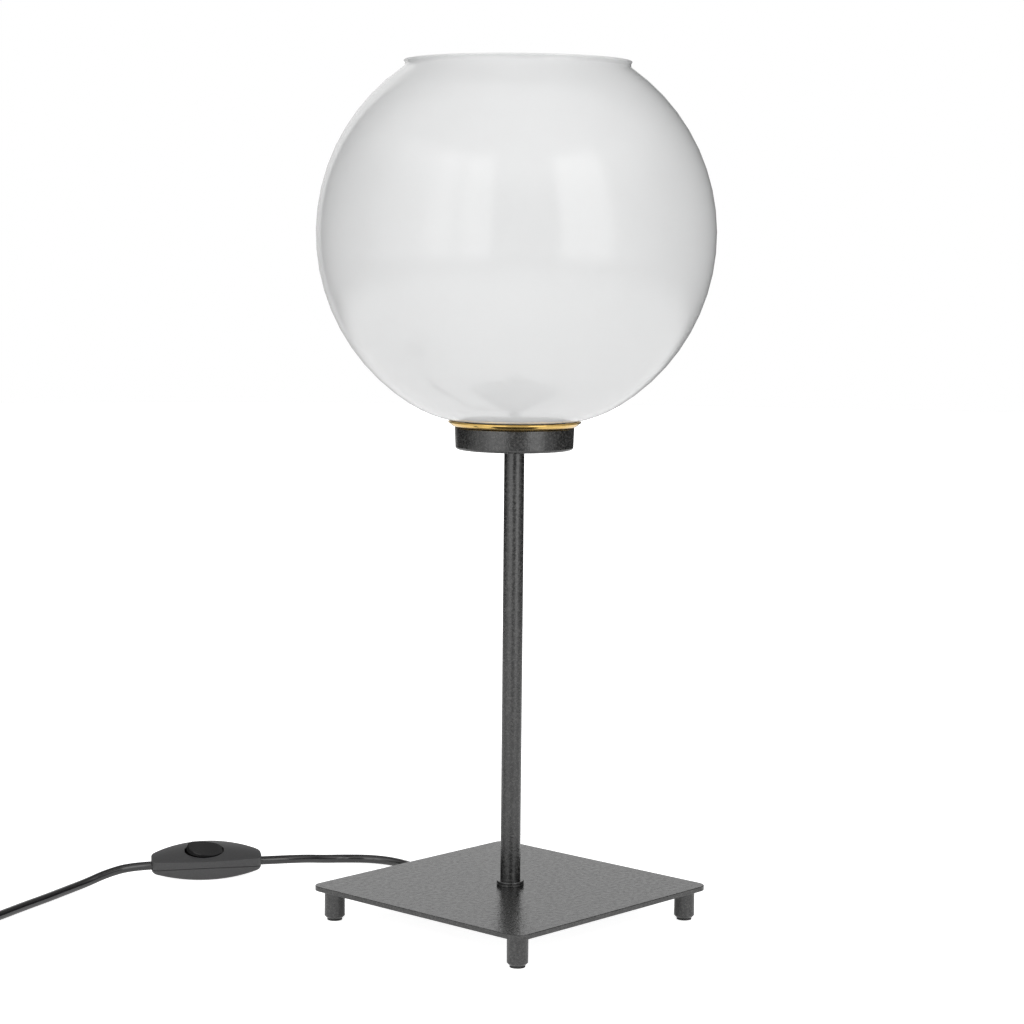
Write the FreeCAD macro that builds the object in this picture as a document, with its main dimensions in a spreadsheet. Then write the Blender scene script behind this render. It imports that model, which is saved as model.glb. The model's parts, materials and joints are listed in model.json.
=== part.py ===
import FreeCAD, Part
import math
import os
import re

import Sketcher
from FreeCAD import Placement, Rotation, Vector

# Table lamp: a square plate on four feet, a tube, a cup with a lampholder and an open glass globe, and a cord
# with a switch. Millimetres, +Z up, the origin on the floor under the middle of the plate.

doc = FreeCAD.newDocument("table_lamp")
sheet = doc.addObject("Spreadsheet::Sheet", "sizes")

# The driving sizes, each with the name that every piece uses.
SIZES = {
    # fits
    "fit_gap": 0.05,
    "loose_gap": 0.2,
    "overrun": 1.0,
    # base plate
    "plate_side": 170.0,
    "plate_thick": 3.0,
    "plate_corner": 7.5,
    "plate_edge": 0.4,
    # feet
    "foot_height": 18.0,
    "foot_dia": 12.2,
    "foot_inset": 10.5,
    "foot_chamfer": 1.6,
    "foot_lift": 1.0,
    "pad_dia": 9.0,
    "pad_thick": 2.2,
    "stud_dia": 5.0,
    "stud_length": 10.0,
    "stud_spare": 1.5,
    # stem
    "tube_dia": 12.0,
    "tube_wall": 1.5,
    "tube_length": 263.0,
    "pipe_dia": 10.0,
    "pipe_bore": 8.0,
    "pipe_depth": 14.0,
    "pipe_below": 2.5,
    "collar_dia": 16.4,
    "collar_ring": 1.3,
    "collar_groove": 0.4,
    "collar_groove_depth": 0.6,
    "collar_flange": 1.3,
    "collar_round": 0.5,
    # nuts and washers on the threaded pipes
    "nut_width": 14.0,
    "nut_thick": 3.0,
    "washer_dia": 20.0,
    "washer_thick": 1.5,
    "cup_washer_thick": 1.2,
    # cup
    "cup_foot_dia": 69.9,
    "cup_rim_dia": 70.8,
    "cup_height": 13.0,
    "cup_wall": 1.2,
    "cup_bend": 1.8,
    # brass dish
    "dish_wall": 0.8,
    "dish_flat_dia": 66.4,
    "dish_bend": 7.0,
    "dish_angle": 51.0,
    "dish_lip": 0.66,
    "dish_hole_dia": 41.2,
    # glass globe
    "globe_dia": 235.0,
    "globe_wall": 3.0,
    "globe_sink": 7.0,
    "globe_seat_dia": 50.0,
    "globe_hole_dia": 41.6,
    "neck_dia": 132.0,
    "neck_bend": 2.6,
    "lip_flare": 0.7,
    "lip_rise": 2.12,
    "rim_round": 0.6,
    "seal_thick": 2.2,
    "seal_dia": 60.0,
    "inner_seal_thick": 1.2,
    # lampholder
    "holder_dia": 39.5,
    "holder_height": 50.0,
    "holder_top_dia": 37.2,
    "holder_step": 29.0,
    "holder_taper": 1.2,
    "holder_round": 1.0,
    "holder_lip_dia": 28.4,
    "holder_lip": 3.0,
    "holder_bore_dia": 30.0,
    "flange_dia": 48.0,
    "flange_thick": 2.2,
    "skirt_dia": 38.8,
    "skirt_drop": 3.8,
    "cap_dia": 35.0,
    "cap_height": 14.0,
    "cap_floor": 3.0,
    "cap_wall": 2.0,
    "cap_bevel": 1.6,
    "core_thick": 6.0,
    "shell_bore_dia": 27.0,
    "shell_wall": 0.4,
    "shell_height": 26.6,
    "shell_hole_dia": 16.0,
    "ring_dia": 54.0,
    "ring_flange": 2.0,
    "ring_grip_dia": 45.2,
    "ring_grip": 5.8,
    # contacts and terminals
    "rivet_dia": 2.4,
    "live_rivet_at": 5.5,
    "shell_rivet_at": 10.5,
    "leaf_wall": 0.5,
    "leaf_width": 5.0,
    "leaf_rise": 3.0,
    "leaf_top": 4.0,
    "leaf_ramp": 2.5,
    "leaf_foot": 3.0,
    "live_block_from": 4.2,
    "shell_block_from": 5.6,
    "block_length": 6.5,
    "block_width": 5.0,
    "block_height": 3.6,
    "block_screw_dia": 2.4,
    "block_screw": 1.5,
    "block_head_dia": 3.4,
    "block_head": 1.0,
    # bulb
    "bulb_dia": 60.0,
    "bulb_wall": 1.3,
    "bulb_neck_dia": 26.8,
    "bulb_neck_bend": 60.0,
    "bulb_root_dia": 25.2,
    "bulb_root": 6.0,
    "base_dia": 26.2,
    "base_wall": 0.4,
    "base_height": 20.5,
    "base_hole_dia": 20.8,
    "bead_height": 2.6,
    "bead_dia": 20.0,
    "tip_dia": 9.0,
    "tip_thick": 1.2,
    # cord
    "cord_dia": 5.5,
    "cord_lift": 0.05,
    "wire_dia": 2.2,
    "wire_gap": 0.3,
    "lead_height": 7.5,
    "lead_bend": 8.0,
    "lead_heading": 68.0,
    "lead_top_spare": 1.1,
    # clamp under the plate
    "clamp_reach": 45.0,
    "clamp_length": 10.0,
    "clamp_width": 22.0,
    "clamp_split": 0.4,
    "clamp_bar": 3.6,
    "clamp_screw_dia": 3.0,
    "clamp_screw_spread": 15.0,
    "clamp_screw_bite": 2.0,
    "clamp_head_dia": 5.6,
    "clamp_head": 1.8,
    # switch
    "switch_length": 70.0,
    "switch_width": 27.0,
    "switch_end_width": 10.6,
    "switch_seam": 9.7,
    "switch_seam_end": 4.8,
    "switch_height": 15.7,
    "switch_crown": 1.5,
    "switch_wall": 1.8,
    "switch_belly": 1.6,
    "switch_end_round": 4.8,
    "switch_edge": 2.6,
    "switch_groove": 0.5,
    "switch_groove_depth": 0.5,
    "switch_cord_height": 5.6,
    "switch_grip": 5.5,
    "switch_roll": 17.0,
    "switch_heading": -33.8,
    "switch_x": -57.2,
    "switch_y": 212.3,
    "well_at": -1.6,
    "well_length": 25.2,
    "well_width": 19.2,
    "rocker_length": 23.6,
    "rocker_width": 18.0,
    "rocker_top": 16.9,
    "rocker_pivot": 11.4,
    "rocker_reach": 12.2,
    "rocker_skirt": 4.0,
    "rocker_wall": 1.6,
    "rocker_dish": 60.0,
    "rocker_tilt": 8.0,
    "pin_dia": 2.4,
    "pin_length": 22.6,
    "lug_width": 6.0,
    "lug_height": 7.0,
    "grip_width": 6.0,
    "grip_length": 3.4,
    "blade_length": 9.0,
    "blade_width": 4.0,
    "blade_wall": 0.6,
    "blade_height": 5.2,
    "blade_spread": 15.0,
    "case_screw_dia": 2.6,
    "case_screw_at": 24.0,
    "case_screw_length": 5.0,
    "case_post_dia": 5.0,
    # coil and plug
    "coil_radius": 42.0,
    "turn_gap": 0.5,
    "coil_x": -243.3,
    "coil_y": 206.7,
    "coil_heading": 196.86,
    "plug_length": 35.0,
    "plug_width": 35.3,
    "plug_tail_width": 15.0,
    "plug_thick": 13.7,
    "plug_edge": 2.5,
    "plug_corner": 6.0,
    "relief_length": 25.0,
    "relief_dia": 11.0,
    "relief_end_dia": 7.6,
    "prong_dia": 4.0,
    "prong_length": 19.0,
    "prong_spread": 19.0,
    "prong_round": 1.2,
    "sleeve_length": 10.0,
    "sleeve_thick": 0.4,
    "tie_width": 6.0,
    "tie_thick": 1.0,
}
for row, (alias, number) in enumerate(SIZES.items(), 1):
    sheet.set(f"A{row}", alias.replace("_", " "))
    sheet.set(f"B{row}", str(number))
    sheet.setAlias(f"B{row}", alias)
doc.recompute()

NAME = re.compile(r"[a-z][a-z_]*[a-z]")
FULL_TURN = 360
nodes = []


def bound(text):
    """The expression with every size named as the other objects see it."""
    return NAME.sub(lambda m: f"sizes.{m[0]}" if m[0] in SIZES else m[0], text)


def value(text):
    """What an expression over the sheet's sizes is worth, in millimetres or degrees."""
    result = sheet.evalExpression(text)
    return float(getattr(result, "Value", result))


def node(thing, label):
    thing.Label = label
    nodes.append(thing)
    return thing


def tie(thing, **sizes):
    """Bind properties of a document object to expressions over the sizes."""
    for name, text in sizes.items():
        thing.setExpression(name.replace("__", ".Base."), bound(text))
    return thing


# Heights where the pieces meet, written as expressions so that all pieces share them.
PLATE_TOP = "(foot_height + plate_thick)"
TUBE_TOP = f"({PLATE_TOP} + tube_length)"
CUP_FLOOR = f"({TUBE_TOP} + cup_wall)"
CUP_TOP = f"({TUBE_TOP} + cup_height)"
CAP_BOTTOM = f"({CUP_FLOOR} + cup_washer_thick + nut_thick)"
PIPE_TOP = f"({CAP_BOTTOM} + cap_floor + cap_wall)"
CAP_TOP = f"({CAP_BOTTOM} + cap_height)"
CORE_TOP = f"({CAP_TOP} + core_thick)"
SEAT = f"({CUP_TOP} + dish_wall + seal_thick)"
SEAL_TOP = f"({SEAT} + globe_wall + inner_seal_thick)"
HOLDER_TOP = f"({CUP_TOP} - flange_thick - skirt_drop + holder_height)"
LEAF_TOP = f"({CORE_TOP} + leaf_rise + leaf_wall)"
TIP_BOTTOM = f"({LEAF_TOP} + loose_gap)"
BASE_TOP = f"({TIP_BOTTOM} + tip_thick + bead_height + base_height)"
THREAD_BORE = "(pipe_dia / 2 + fit_gap)"


# Turned pieces: an outline in the XZ plane, revolved about Z.


def origin_plane(body, role):
    return next(f for f in body.Origin.OriginFeatures if f.Role == role)


def new_sketch(body, name, role="XY_Plane"):
    sketch = body.newObject("Sketcher::SketchObject", f"{body.Name}_{name}")
    sketch.AttachmentSupport = [(origin_plane(body, role), "")]
    sketch.MapMode = "FlatFace"
    return sketch


def arc_between(start, end, radius, side):
    """The short arc from start to end, its centre left of the way for side 1 and right of it for side -1."""
    chord = end - start
    across = Vector(-chord.y, chord.x, 0).normalize() * side
    reach = math.sqrt(max(radius * radius - chord.Length**2 / 4, 0))
    middle = (start + end) / 2 + across * (reach - radius)
    return Part.Arc(start, middle, end)


def end_at(sketch, line, point):
    """Which end of a sketch line, 1 or 2, lies at a point."""
    gaps = [sketch.getPoint(line, end).distanceToPoint(point) for end in (1, 2)]
    return 1 if gaps[0] < gaps[1] else 2


def hold(sketch, kind, text, *places):
    constraint = sketch.addConstraint(Sketcher.Constraint(kind, *places, value(text)))
    sketch.setExpression(f"Constraints[{constraint}]", bound(text))


def draw_outline(sketch, corners):
    """Corners are (across, up), or (across, up, side, radius) where an arc runs on from there."""
    points = [Vector(value(c[0]), value(c[1]), 0) for c in corners]
    after = points[1:] + points[:1]
    for corner, start, end in zip(corners, points, after):
        if len(corner) == 2:
            sketch.addGeometry(Part.LineSegment(start, end), False)
        else:
            sketch.addGeometry(arc_between(start, end, value(corner[3]), corner[2]), False)
    for line, end in enumerate(after):
        follower = (line + 1) % len(points)
        ends = (line, end_at(sketch, line, end), follower, end_at(sketch, follower, end))
        sketch.addConstraint(Sketcher.Constraint("Coincident", *ends))
    for line, (corner, start) in enumerate(zip(corners, points)):
        place = (-1, 1, line, end_at(sketch, line, start))
        hold(sketch, "DistanceX", corner[0], *place)
        hold(sketch, "DistanceY", corner[1], *place)
        if len(corner) == 4:
            hold(sketch, "Radius", corner[3], line)


def turned(label, corners):
    body = doc.addObject("PartDesign::Body", label)
    sketch = new_sketch(body, "outline", "XZ_Plane")
    draw_outline(sketch, corners)
    revolved = body.newObject("PartDesign::Revolution", f"{label}_turned")
    revolved.Profile = sketch
    revolved.ReferenceAxis = (sketch, ["V_Axis"])
    revolved.Angle = FULL_TURN
    return node(body, label)


def ring(label, inner, outer, low, high):
    """A plain ring, from its radii and heights."""
    return turned(label, [(inner, low), (outer, low), (outer, high), (inner, high)])


# Plain solids for groups of like pieces.


def rod(name, radius, low, high, x="0", y="0"):
    solid = doc.addObject("Part::Cylinder", name)
    height = f"{high} - ({low})"
    return tie(solid, Radius=radius, Height=height, Placement__x=x, Placement__y=y, Placement__z=low)


def block(name, x, y, z):
    """A box from (low, high) along each axis."""
    solid = doc.addObject("Part::Box", name)
    tie(solid, Length=f"{x[1]} - ({x[0]})", Width=f"{y[1]} - ({y[0]})", Height=f"{z[1]} - ({z[0]})")
    return tie(solid, Placement__x=x[0], Placement__y=y[0], Placement__z=z[0])


def group(label, members):
    compound = doc.addObject("Part::Compound", label)
    compound.Links = members
    return node(compound, label)


def cut(label, base, tool):
    feature = doc.addObject("Part::Cut", label)
    feature.Base = base
    feature.Tool = tool
    return feature


def join(label, members):
    feature = doc.addObject("Part::MultiFuse", label)
    feature.Shapes = members
    return feature


def made(label, shape, placement=None):
    """A node whose shape is worked out here from the sizes."""
    feature = doc.addObject("Part::Feature", label)
    feature.Shape = shape
    if placement:
        feature.Placement = placement.multiply(feature.Placement)
    return node(feature, label)


# Base plate, with the pipe's hole and two blind holes for the clamp's screws.

CLAMP_MIDDLE = "(clamp_reach - clamp_length / 2)"


def clamp_place(side):
    """Where a screw of the clamp stands, right (1) or left (-1) of the lead, as expressions."""
    along = (f"{CLAMP_MIDDLE} * cos(lead_heading)", f"{CLAMP_MIDDLE} * sin(lead_heading)")
    across = ("clamp_screw_spread / 2 * sin(lead_heading)", "clamp_screw_spread / 2 * cos(lead_heading)")
    signs = ("+", "-") if side > 0 else ("-", "+")
    return tuple(f"{a} {sign} {b}" for a, sign, b in zip(along, signs, across))


def circle(sketch, x, y, radius):
    centre = Vector(value(x), value(y), 0)
    index = sketch.addGeometry(Part.Circle(centre, Vector(0, 0, 1), value(radius)), False)
    hold(sketch, "DistanceX", x, -1, 1, index, 3)
    hold(sketch, "DistanceY", y, -1, 1, index, 3)
    hold(sketch, "Radius", radius, index)


def pocket(body, name, circles, depth):
    sketch = new_sketch(body, name)
    for x, y, radius in circles:
        circle(sketch, x, y, radius)
    hole = body.newObject("PartDesign::Pocket", f"{body.Name}_{name}_cut")
    hole.Profile = sketch
    hole.Reversed = True
    return tie(hole, Length=depth)


def edges_where(shape, wanted):
    return [f"Edge{i}" for i, edge in enumerate(shape.Edges, 1) if wanted(edge)]


def rounded(body, name, base, wanted, radius):
    """A fillet on the edges of the last feature that a test picks."""
    doc.recompute()
    fillet = body.newObject("PartDesign::Fillet", f"{body.Name}_{name}")
    fillet.Base = (base, edges_where(base.Shape, wanted))
    return tie(fillet, Radius=radius)


def upright(edge):
    box = edge.BoundBox
    return box.XLength < box.ZLength / 2 and box.YLength < box.ZLength / 2


def base_plate():
    body = doc.addObject("PartDesign::Body", "base_plate")
    sketch = new_sketch(body, "outline")
    low, high = "-plate_side / 2", "plate_side / 2"
    draw_outline(sketch, [(low, low), (high, low), (high, high), (low, high)])
    pad = body.newObject("PartDesign::Pad", "base_plate_pad")
    pad.Profile = sketch
    tie(pad, Length="plate_thick")
    corners = rounded(body, "corners", pad, upright, "plate_corner")
    rounded(body, "rims", corners, lambda edge: not upright(edge), "plate_edge")
    doc.recompute()
    pocket(body, "pipe_hole", [("0", "0", THREAD_BORE)], "plate_thick")
    screw_holes = [(*clamp_place(side), "clamp_screw_dia / 2 + fit_gap") for side in (1, -1)]
    pocket(body, "screw_holes", screw_holes, "clamp_screw_bite + loose_gap")
    tie(body, Placement__z="foot_height")
    node(body, "base_plate")


# Feet: turned legs on welded studs, each with a soft pad glued under it.

FOOT_OFFSET = "(plate_side / 2 - foot_inset)"
FEET = {"foot_front": ("-", "-"), "foot_left": ("-", ""), "foot_right": ("", "-"), "foot_back": ("", "")}


def feet():
    bore = "(stud_dia / 2 + fit_gap)"
    floor = "(foot_height - stud_length - stud_spare)"
    for label, (sign_x, sign_y) in FEET.items():
        foot = turned(label, [
            ("0", "pad_thick"),
            ("pad_dia / 2 + fit_gap", "pad_thick"),
            ("pad_dia / 2 + fit_gap", "foot_lift"),
            ("foot_dia / 2 - foot_chamfer", "foot_lift"),
            ("foot_dia / 2", "foot_lift + foot_chamfer"),
            ("foot_dia / 2", "foot_height"),
            (bore, "foot_height"),
            (bore, floor),
            ("0", floor),
        ])
        tie(foot, Placement__x=sign_x + FOOT_OFFSET, Placement__y=sign_y + FOOT_OFFSET)
    places = [(sign_x + FOOT_OFFSET, sign_y + FOOT_OFFSET) for sign_x, sign_y in FEET.values()]
    studs = [
        rod(f"stud_{i}", "stud_dia / 2", "foot_height - stud_length", "foot_height", x, y)
        for i, (x, y) in enumerate(places, 1)
    ]
    group("foot_studs", studs)
    pads = [rod(f"pad_{i}", "pad_dia / 2", "0", "pad_thick", x, y) for i, (x, y) in enumerate(places, 1)]
    group("foot_pads", pads)


# Stem: the tube, threaded inside at both ends, its collar, and the two threaded pipes that hold it.


def hex_nut(label, low):
    prism = doc.addObject("Part::Prism", f"{label}_hexagon")
    prism.Polygon = 6
    tie(prism, Circumradius="nut_width / sqrt(3)", Height="nut_thick", Placement__z=low)
    bore = rod(f"{label}_bore", THREAD_BORE, f"{low} - overrun", f"{low} + nut_thick + overrun")
    return node(cut(label, prism, bore), label)


def stem():
    outer, inner, thread = "tube_dia / 2", "tube_dia / 2 - tube_wall", THREAD_BORE
    turned("stem_tube", [
        (thread, PLATE_TOP),
        (outer, PLATE_TOP),
        (outer, TUBE_TOP),
        (thread, TUBE_TOP),
        (thread, f"{TUBE_TOP} - pipe_depth - loose_gap"),
        (inner, f"{TUBE_TOP} - pipe_depth - loose_gap"),
        (inner, f"{PLATE_TOP} + pipe_depth + loose_gap"),
        (thread, f"{PLATE_TOP} + pipe_depth + loose_gap"),
    ])
    bore, rim = "tube_dia / 2 + fit_gap", "collar_dia / 2"
    groove = f"{rim} - collar_groove_depth"
    ring_top = f"{PLATE_TOP} + collar_ring"
    flange_low = f"{ring_top} + collar_groove"
    flange_top = f"{flange_low} + collar_flange"
    turned("stem_collar", [
        (bore, PLATE_TOP),
        (rim, PLATE_TOP),
        (rim, ring_top),
        (groove, ring_top),
        (groove, flange_low),
        (rim, flange_low),
        (rim, f"{flange_top} - collar_round", 1, "collar_round"),
        (f"{rim} - collar_round", flange_top),
        (bore, flange_top),
    ])
    washer_low = "(foot_height - washer_thick)"
    nut_low = f"({washer_low} - nut_thick)"
    pipe_wall = ("pipe_bore / 2", "pipe_dia / 2")
    ring("lower_pipe", *pipe_wall, f"{nut_low} - pipe_below + washer_thick", f"{PLATE_TOP} + pipe_depth")
    ring("upper_pipe", *pipe_wall, f"{TUBE_TOP} - pipe_depth", PIPE_TOP)
    ring("base_washer", THREAD_BORE, "washer_dia / 2", washer_low, "foot_height")
    hex_nut("base_nut", nut_low)
    ring("cup_washer", THREAD_BORE, "washer_dia / 2", CUP_FLOOR, f"{CUP_FLOOR} + cup_washer_thick")
    hex_nut("cup_nut", f"({CUP_FLOOR} + cup_washer_thick)")


# Clamp under the plate: it holds the lead between a block and a bar, with two screws into the plate.


def clamp():
    turn = Placement(Vector(0, 0, 0), Rotation(Vector(0, 0, 1), value("lead_heading")))
    start, end = value("clamp_reach - clamp_length"), value("clamp_reach")
    half, axis = value("clamp_width") / 2, value("lead_height")
    split, channel = value("clamp_split") / 2, value("cord_dia / 2 + fit_gap")
    over = value("overrun")
    screw, bar_low = value("clamp_screw_dia") / 2, value("lead_height - clamp_split / 2 - clamp_bar")
    hole = screw + value("fit_gap")
    length = end - start
    passage = Part.makeCylinder(channel, length + 2 * over, Vector(start - over, 0, axis), Vector(1, 0, 0))
    middle = (start + end) / 2
    holes = []
    screws = []
    for side in (1, -1):
        y = side * value("clamp_screw_spread") / 2
        foot = Vector(middle, y, bar_low)
        depth = value("foot_height") - bar_low + over
        holes.append(Part.makeCylinder(hole, depth, foot - Vector(0, 0, over)))
        shank = Part.makeCylinder(screw, value("foot_height + clamp_screw_bite") - bar_low, foot)
        head = value("clamp_head")
        cap = Part.makeCylinder(value("clamp_head_dia") / 2, head, foot - Vector(0, 0, head))
        screws.append(shank.fuse(cap).removeSplitter())
    tools = Part.Compound([passage, *holes])
    corner = Vector(start, -half, axis + split)
    upper = Part.makeBox(length, 2 * half, value("foot_height") - axis - split, corner)
    lower = Part.makeBox(length, 2 * half, value("clamp_bar"), Vector(start, -half, bar_low))
    made("clamp_block", upper.cut(tools), turn)
    made("clamp_bar", lower.cut(tools), turn)
    made("clamp_screws", Part.Compound(screws), turn)


# Cup and brass dish.


def cup():
    foot, rim = "cup_foot_dia / 2", "cup_rim_dia / 2"
    turned("holder_cup", [
        (THREAD_BORE, TUBE_TOP),
        (f"{foot} - cup_bend", TUBE_TOP, 1, "cup_bend"),
        (foot, f"{TUBE_TOP} + cup_bend"),
        (rim, CUP_TOP),
        (f"{rim} - cup_wall", CUP_TOP),
        (f"{foot} - cup_wall", f"{TUBE_TOP} + cup_bend", -1, "cup_bend - cup_wall"),
        (f"{foot} - cup_bend", CUP_FLOOR),
        (THREAD_BORE, CUP_FLOOR),
    ])


def dish():
    """Flat sheet that bends up to a slope and ends in a round bead."""
    flat, bend, angle = "dish_flat_dia / 2", "dish_bend", "dish_angle"
    inside = "(dish_bend - dish_wall)"
    half = "(dish_wall / 2)"
    middle = (
        f"{flat} + ({bend} - {half}) * sin({angle})",
        f"{CUP_TOP} + {bend} - ({bend} - {half}) * cos({angle})",
    )
    reach = f"(sqrt(dish_lip * dish_lip - {half} * {half}) + dish_lip)"
    top = (f"{middle[0]} + {reach} * cos({angle})", f"{middle[1]} + {reach} * sin({angle})")
    turned("brass_dish", [
        ("dish_hole_dia / 2", CUP_TOP),
        (flat, CUP_TOP, 1, bend),
        (f"{flat} + {bend} * sin({angle})", f"{CUP_TOP} + {bend} - {bend} * cos({angle})", 1, "dish_lip"),
        (*top, 1, "dish_lip"),
        (f"{flat} + {inside} * sin({angle})", f"{CUP_TOP} + {bend} - {inside} * cos({angle})", -1, inside),
        (flat, f"{CUP_TOP} + dish_wall"),
        ("dish_hole_dia / 2", f"{CUP_TOP} + dish_wall"),
    ])
    ring("dish_seal", "globe_hole_dia / 2 + fit_gap", "seal_dia / 2", f"{CUP_TOP} + dish_wall", SEAT)


# Glass globe: a flat seat, a bend that meets the sphere, and an open neck with a flared lip.


def globe():
    radius, wall, seat = "(globe_dia / 2)", "globe_wall", "(globe_seat_dia / 2)"
    rise = "(globe_dia / 2 - globe_sink)"
    bend = f"(({radius} * {radius} - {rise} * {rise} - {seat} * {seat}) / (2 * ({radius} - {rise})))"
    middle = f"({SEAT} + {rise})"

    def low_meet(shell):
        """Where the seat's bend meets a sphere of that radius."""
        share = f"{shell} / ({radius} - {bend})"
        return f"{seat} * {share}", f"{middle} - ({rise} - {bend}) * {share}"

    neck = "(neck_dia / 2)"
    span = f"({radius} + neck_bend)"
    height = f"sqrt({span} * {span} - ({neck} + neck_bend) * ({neck} + neck_bend))"

    def high_meet(shell):
        """Where that sphere meets the neck's bend."""
        return f"({neck} + neck_bend) * {shell} / {span}", f"{middle} + {height} * {shell} / {span}"

    inner = f"({radius} - {wall})"
    throat = f"{middle} + {height}"
    rim = f"({throat} + lip_rise)"
    lip = f"({neck} + lip_flare)"
    flare_rise = "(lip_rise - rim_round)"
    flare = f"((lip_flare * lip_flare + {flare_rise} * {flare_rise}) / (2 * lip_flare))"
    turned("glass_globe", [
        ("globe_hole_dia / 2", SEAT),
        (seat, SEAT, 1, bend),
        (*low_meet(radius), 1, radius),
        (*high_meet(radius), -1, "neck_bend"),
        (neck, throat, -1, flare),
        (lip, f"{rim} - rim_round", 1, "rim_round"),
        (f"{lip} - rim_round", rim),
        (f"{lip} - {wall} + rim_round", rim, 1, "rim_round"),
        (f"{lip} - {wall}", f"{rim} - rim_round"),
        (f"{neck} - {wall}", throat, 1, f"neck_bend + {wall}"),
        (*high_meet(inner), -1, inner),
        (*low_meet(inner), -1, f"{bend} - {wall}"),
        (seat, f"{SEAT} + {wall}"),
        ("globe_hole_dia / 2", f"{SEAT} + {wall}"),
    ])
    holder = "holder_dia / 2 + fit_gap"
    ring("globe_seal", holder, "globe_seat_dia / 2", f"{SEAT} + globe_wall", SEAL_TOP)
    flange_top = f"({SEAL_TOP} + ring_flange)"
    turned("shade_ring", [
        (holder, SEAL_TOP),
        ("ring_dia / 2", SEAL_TOP),
        ("ring_dia / 2", flange_top),
        ("ring_grip_dia / 2", flange_top),
        ("ring_grip_dia / 2", f"{flange_top} + ring_grip"),
        (holder, f"{flange_top} + ring_grip"),
    ])


# Lampholder: a cap on the pipe, a core with the contacts, and a body that screws over the cap.

RIVETS_AT = ("-live_rivet_at", "shell_rivet_at")


def lampholder():
    cap, skirt_bore = "cap_dia / 2", "cap_dia / 2 + fit_gap"
    turned("holder_cap", [
        (THREAD_BORE, CAP_BOTTOM),
        (f"{cap} - cap_bevel", CAP_BOTTOM),
        (cap, f"{CAP_BOTTOM} + cap_bevel"),
        (cap, CAP_TOP),
        (f"{cap} - cap_wall", CAP_TOP),
        (f"{cap} - cap_wall", f"{CAP_BOTTOM} + cap_floor"),
        (THREAD_BORE, f"{CAP_BOTTOM} + cap_floor"),
    ])
    flange_low = f"({CUP_TOP} - flange_thick)"
    step = f"({CUP_TOP} + holder_step)"
    top, bore = "holder_top_dia / 2", "holder_bore_dia / 2"
    turned("holder_body", [
        (skirt_bore, f"{flange_low} - skirt_drop"),
        ("skirt_dia / 2", f"{flange_low} - skirt_drop"),
        ("skirt_dia / 2", flange_low),
        ("flange_dia / 2", flange_low),
        ("flange_dia / 2", CUP_TOP),
        ("holder_dia / 2", CUP_TOP),
        ("holder_dia / 2", step),
        (top, f"{step} + holder_taper"),
        (top, f"{HOLDER_TOP} - holder_round", 1, "holder_round"),
        (f"{top} - holder_round", HOLDER_TOP),
        ("holder_lip_dia / 2", HOLDER_TOP),
        ("holder_lip_dia / 2", f"{HOLDER_TOP} - holder_lip"),
        (bore, f"{HOLDER_TOP} - holder_lip"),
        (bore, CORE_TOP),
        (skirt_bore, CORE_TOP),
    ])
    core = rod("holder_core_disc", "cap_dia / 2 - fit_gap", CAP_TOP, CORE_TOP)
    below, above = f"{CAP_TOP} - overrun", f"{CORE_TOP} + overrun"
    holes = [
        rod(f"holder_core_hole_{i}", "rivet_dia / 2 + fit_gap", below, above, x)
        for i, x in enumerate(RIVETS_AT, 1)
    ]
    node(cut("holder_core", core, join("holder_core_holes", holes)), "holder_core")
    shell = "shell_bore_dia / 2 + shell_wall"
    turned("screw_shell", [
        ("shell_hole_dia / 2", CORE_TOP),
        (shell, CORE_TOP),
        (shell, f"{CORE_TOP} + shell_height"),
        ("shell_bore_dia / 2", f"{CORE_TOP} + shell_height"),
        ("shell_bore_dia / 2", f"{CORE_TOP} + shell_wall"),
        ("shell_hole_dia / 2", f"{CORE_TOP} + shell_wall"),
    ])


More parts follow.
